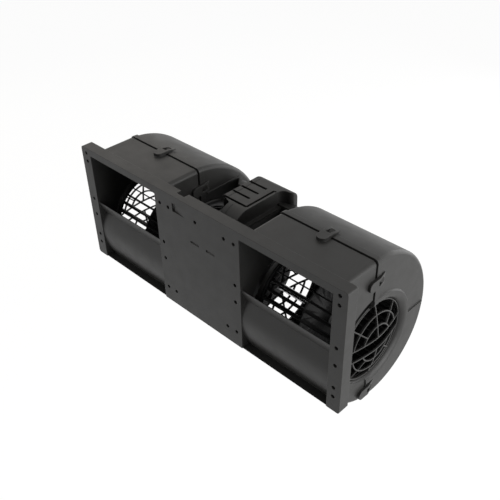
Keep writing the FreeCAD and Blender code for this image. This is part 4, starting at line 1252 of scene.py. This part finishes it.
@dataclass
class Studio:
    """Camera, lamps, floor and surrounding light.

    Attributes:
        place: Camera position.
        azimuth_deg: Turn of the view from straight along +Y, towards the right end.
        elevation_deg: How far the camera looks down.
        roll_deg: Tilt of the picture.
        lens: Focal length in millimetres.
        sensor: Width of the picture behind the lens, in millimetres.
        floor_drop: Height of the object's lowest point over the floor.
        floor_size: Width of the floor.
        surround: Strength of the surrounding light on the object.
        floor_lift: Light that the floor adds where it is seen, which turns it white.
        floor_shadow: Share of the light that falls on it and shows there, with the shadow.
        lamps: The area lights.
    """

    place: Point = (0.47221, -0.38557, 0.46871)
    azimuth_deg: float = 45.44
    elevation_deg: float = 36.32
    roll_deg: float = 1.37
    lens: float = 50.87
    sensor: float = 36.0
    floor_drop: float = 0.35
    floor_size: float = 16.0
    surround: float = 0.19
    floor_lift: float = 0.94
    floor_shadow: float = 0.12
    lamps: Sequence[Lamp] = (
        Lamp("lamp_right", (1.0, 0.15, 0.1), 31.0),
        Lamp("lamp_back", (0.2, 1.0, 0.05), 12.0),
        Lamp("lamp_left", (-1.0, 0.3, 0.45), 2.5, (1.0, 0.88, 0.72)),
        Lamp("lamp_top", (0.1, 0.3, 1.0), 2.1, (1.0, 0.92, 0.8)),
        Lamp("lamp_front", (-0.5, -1.0, 0.3), 4.2, distance=1.8),
    )

    def build(self) -> None:
        """Set up the whole studio."""
        low, high = (Vector(corner) for corner in CAD_BOX)
        self.camera()
        for lamp in self.lamps:
            lamp.hang((low + high) / 2)
        self.floor(low.z - self.floor_drop)
        self.world()
        bpy.context.scene.view_settings.view_transform = "Standard"

    def camera(self) -> None:
        """Place the camera at the photograph's viewpoint."""
        azimuth = math.radians(self.azimuth_deg)
        down = math.radians(90.0 - self.elevation_deg)
        turn = Matrix.Rotation(azimuth, 4, "Z") @ Matrix.Rotation(down, 4, "X")
        turn = turn @ Matrix.Rotation(-math.radians(self.roll_deg), 4, "Z")
        data = bpy.data.cameras.new("camera")
        data.sensor_width = self.sensor
        data.lens = self.lens
        data.clip_start = 0.01
        camera = add_object("camera", data)
        camera.matrix_world = Matrix.Translation(self.place) @ turn
        bpy.context.scene.camera = camera

    def floor(self, height: float) -> None:
        """Lay a pale floor that shows white to the camera and keeps the shadow.

        Args:
            height: Z of the floor.
        """
        mesh = bpy.data.meshes.new("floor")
        half = self.floor_size / 2
        corners = [(-half, -half), (half, -half), (half, half), (-half, half)]
        mesh.from_pydata([(x, y, height) for x, y in corners], [], [(0, 1, 2, 3)])
        floor = add_object("floor", mesh)
        material = bpy.data.materials.new("floor_pale")
        tree = Tree.of(material)
        matt = tree.add("ShaderNodeBsdfDiffuse", {"Color": (0.8, 0.8, 0.8, 1.0)})
        faint = tree.add("ShaderNodeBsdfDiffuse", {"Color": (*[self.floor_shadow] * 3, 1.0)})
        lift = tree.add("ShaderNodeEmission", {"Strength": self.floor_lift})
        seen = tree.add("ShaderNodeAddShader", {0: faint.outputs[0], 1: lift.outputs[0]})
        tree.add("ShaderNodeOutputMaterial", {"Surface": self.by_ray(tree, matt, seen)})
        mesh.materials.append(material)

    def by_ray(self, tree: Tree, lighting: bpy.types.Node, seen: bpy.types.Node) -> Socket:
        """Mix what lights the object with what the camera, gloss and glass see.

        Args:
            tree: The tree of the floor or the world.
            lighting: Shader for the rays that light the object.
            seen: Shader for the rays that show the background.

        Returns:
            The mix's socket.
        """
        path = tree.add("ShaderNodeLightPath").outputs
        mirrored = tree.math("MAXIMUM", path["Is Glossy Ray"], path["Is Transmission Ray"])
        direct = tree.math("MAXIMUM", path["Is Camera Ray"], mirrored)
        return tree.add("ShaderNodeMixShader", {"Fac": direct, 1: lighting.outputs[0],
                                                2: seen.outputs[0]}).outputs[0]

    def world(self) -> None:
        """Give the world a white background and an even light on the object."""
        world = bpy.data.worlds.new("studio")
        bpy.context.scene.world = world
        tree = Tree.of(world)
        light = tree.add("ShaderNodeBackground", {"Color": WHITE, "Strength": self.surround})
        white = tree.add("ShaderNodeBackground", {"Color": WHITE, "Strength": 1.0})
        tree.add("ShaderNodeOutputWorld", {"Surface": self.by_ray(tree, light, white)})


def main() -> None:
    """Build every sub-assembly, then the studio."""
    logging.basicConfig(level=logging.INFO, format="%(name)s: %(message)s")
    for part in (Casings(), Guards(), Wheels(), Bearings(), Motor(), Screws(), Studio()):
        part.build()


if __name__ == "__main__":
    main()
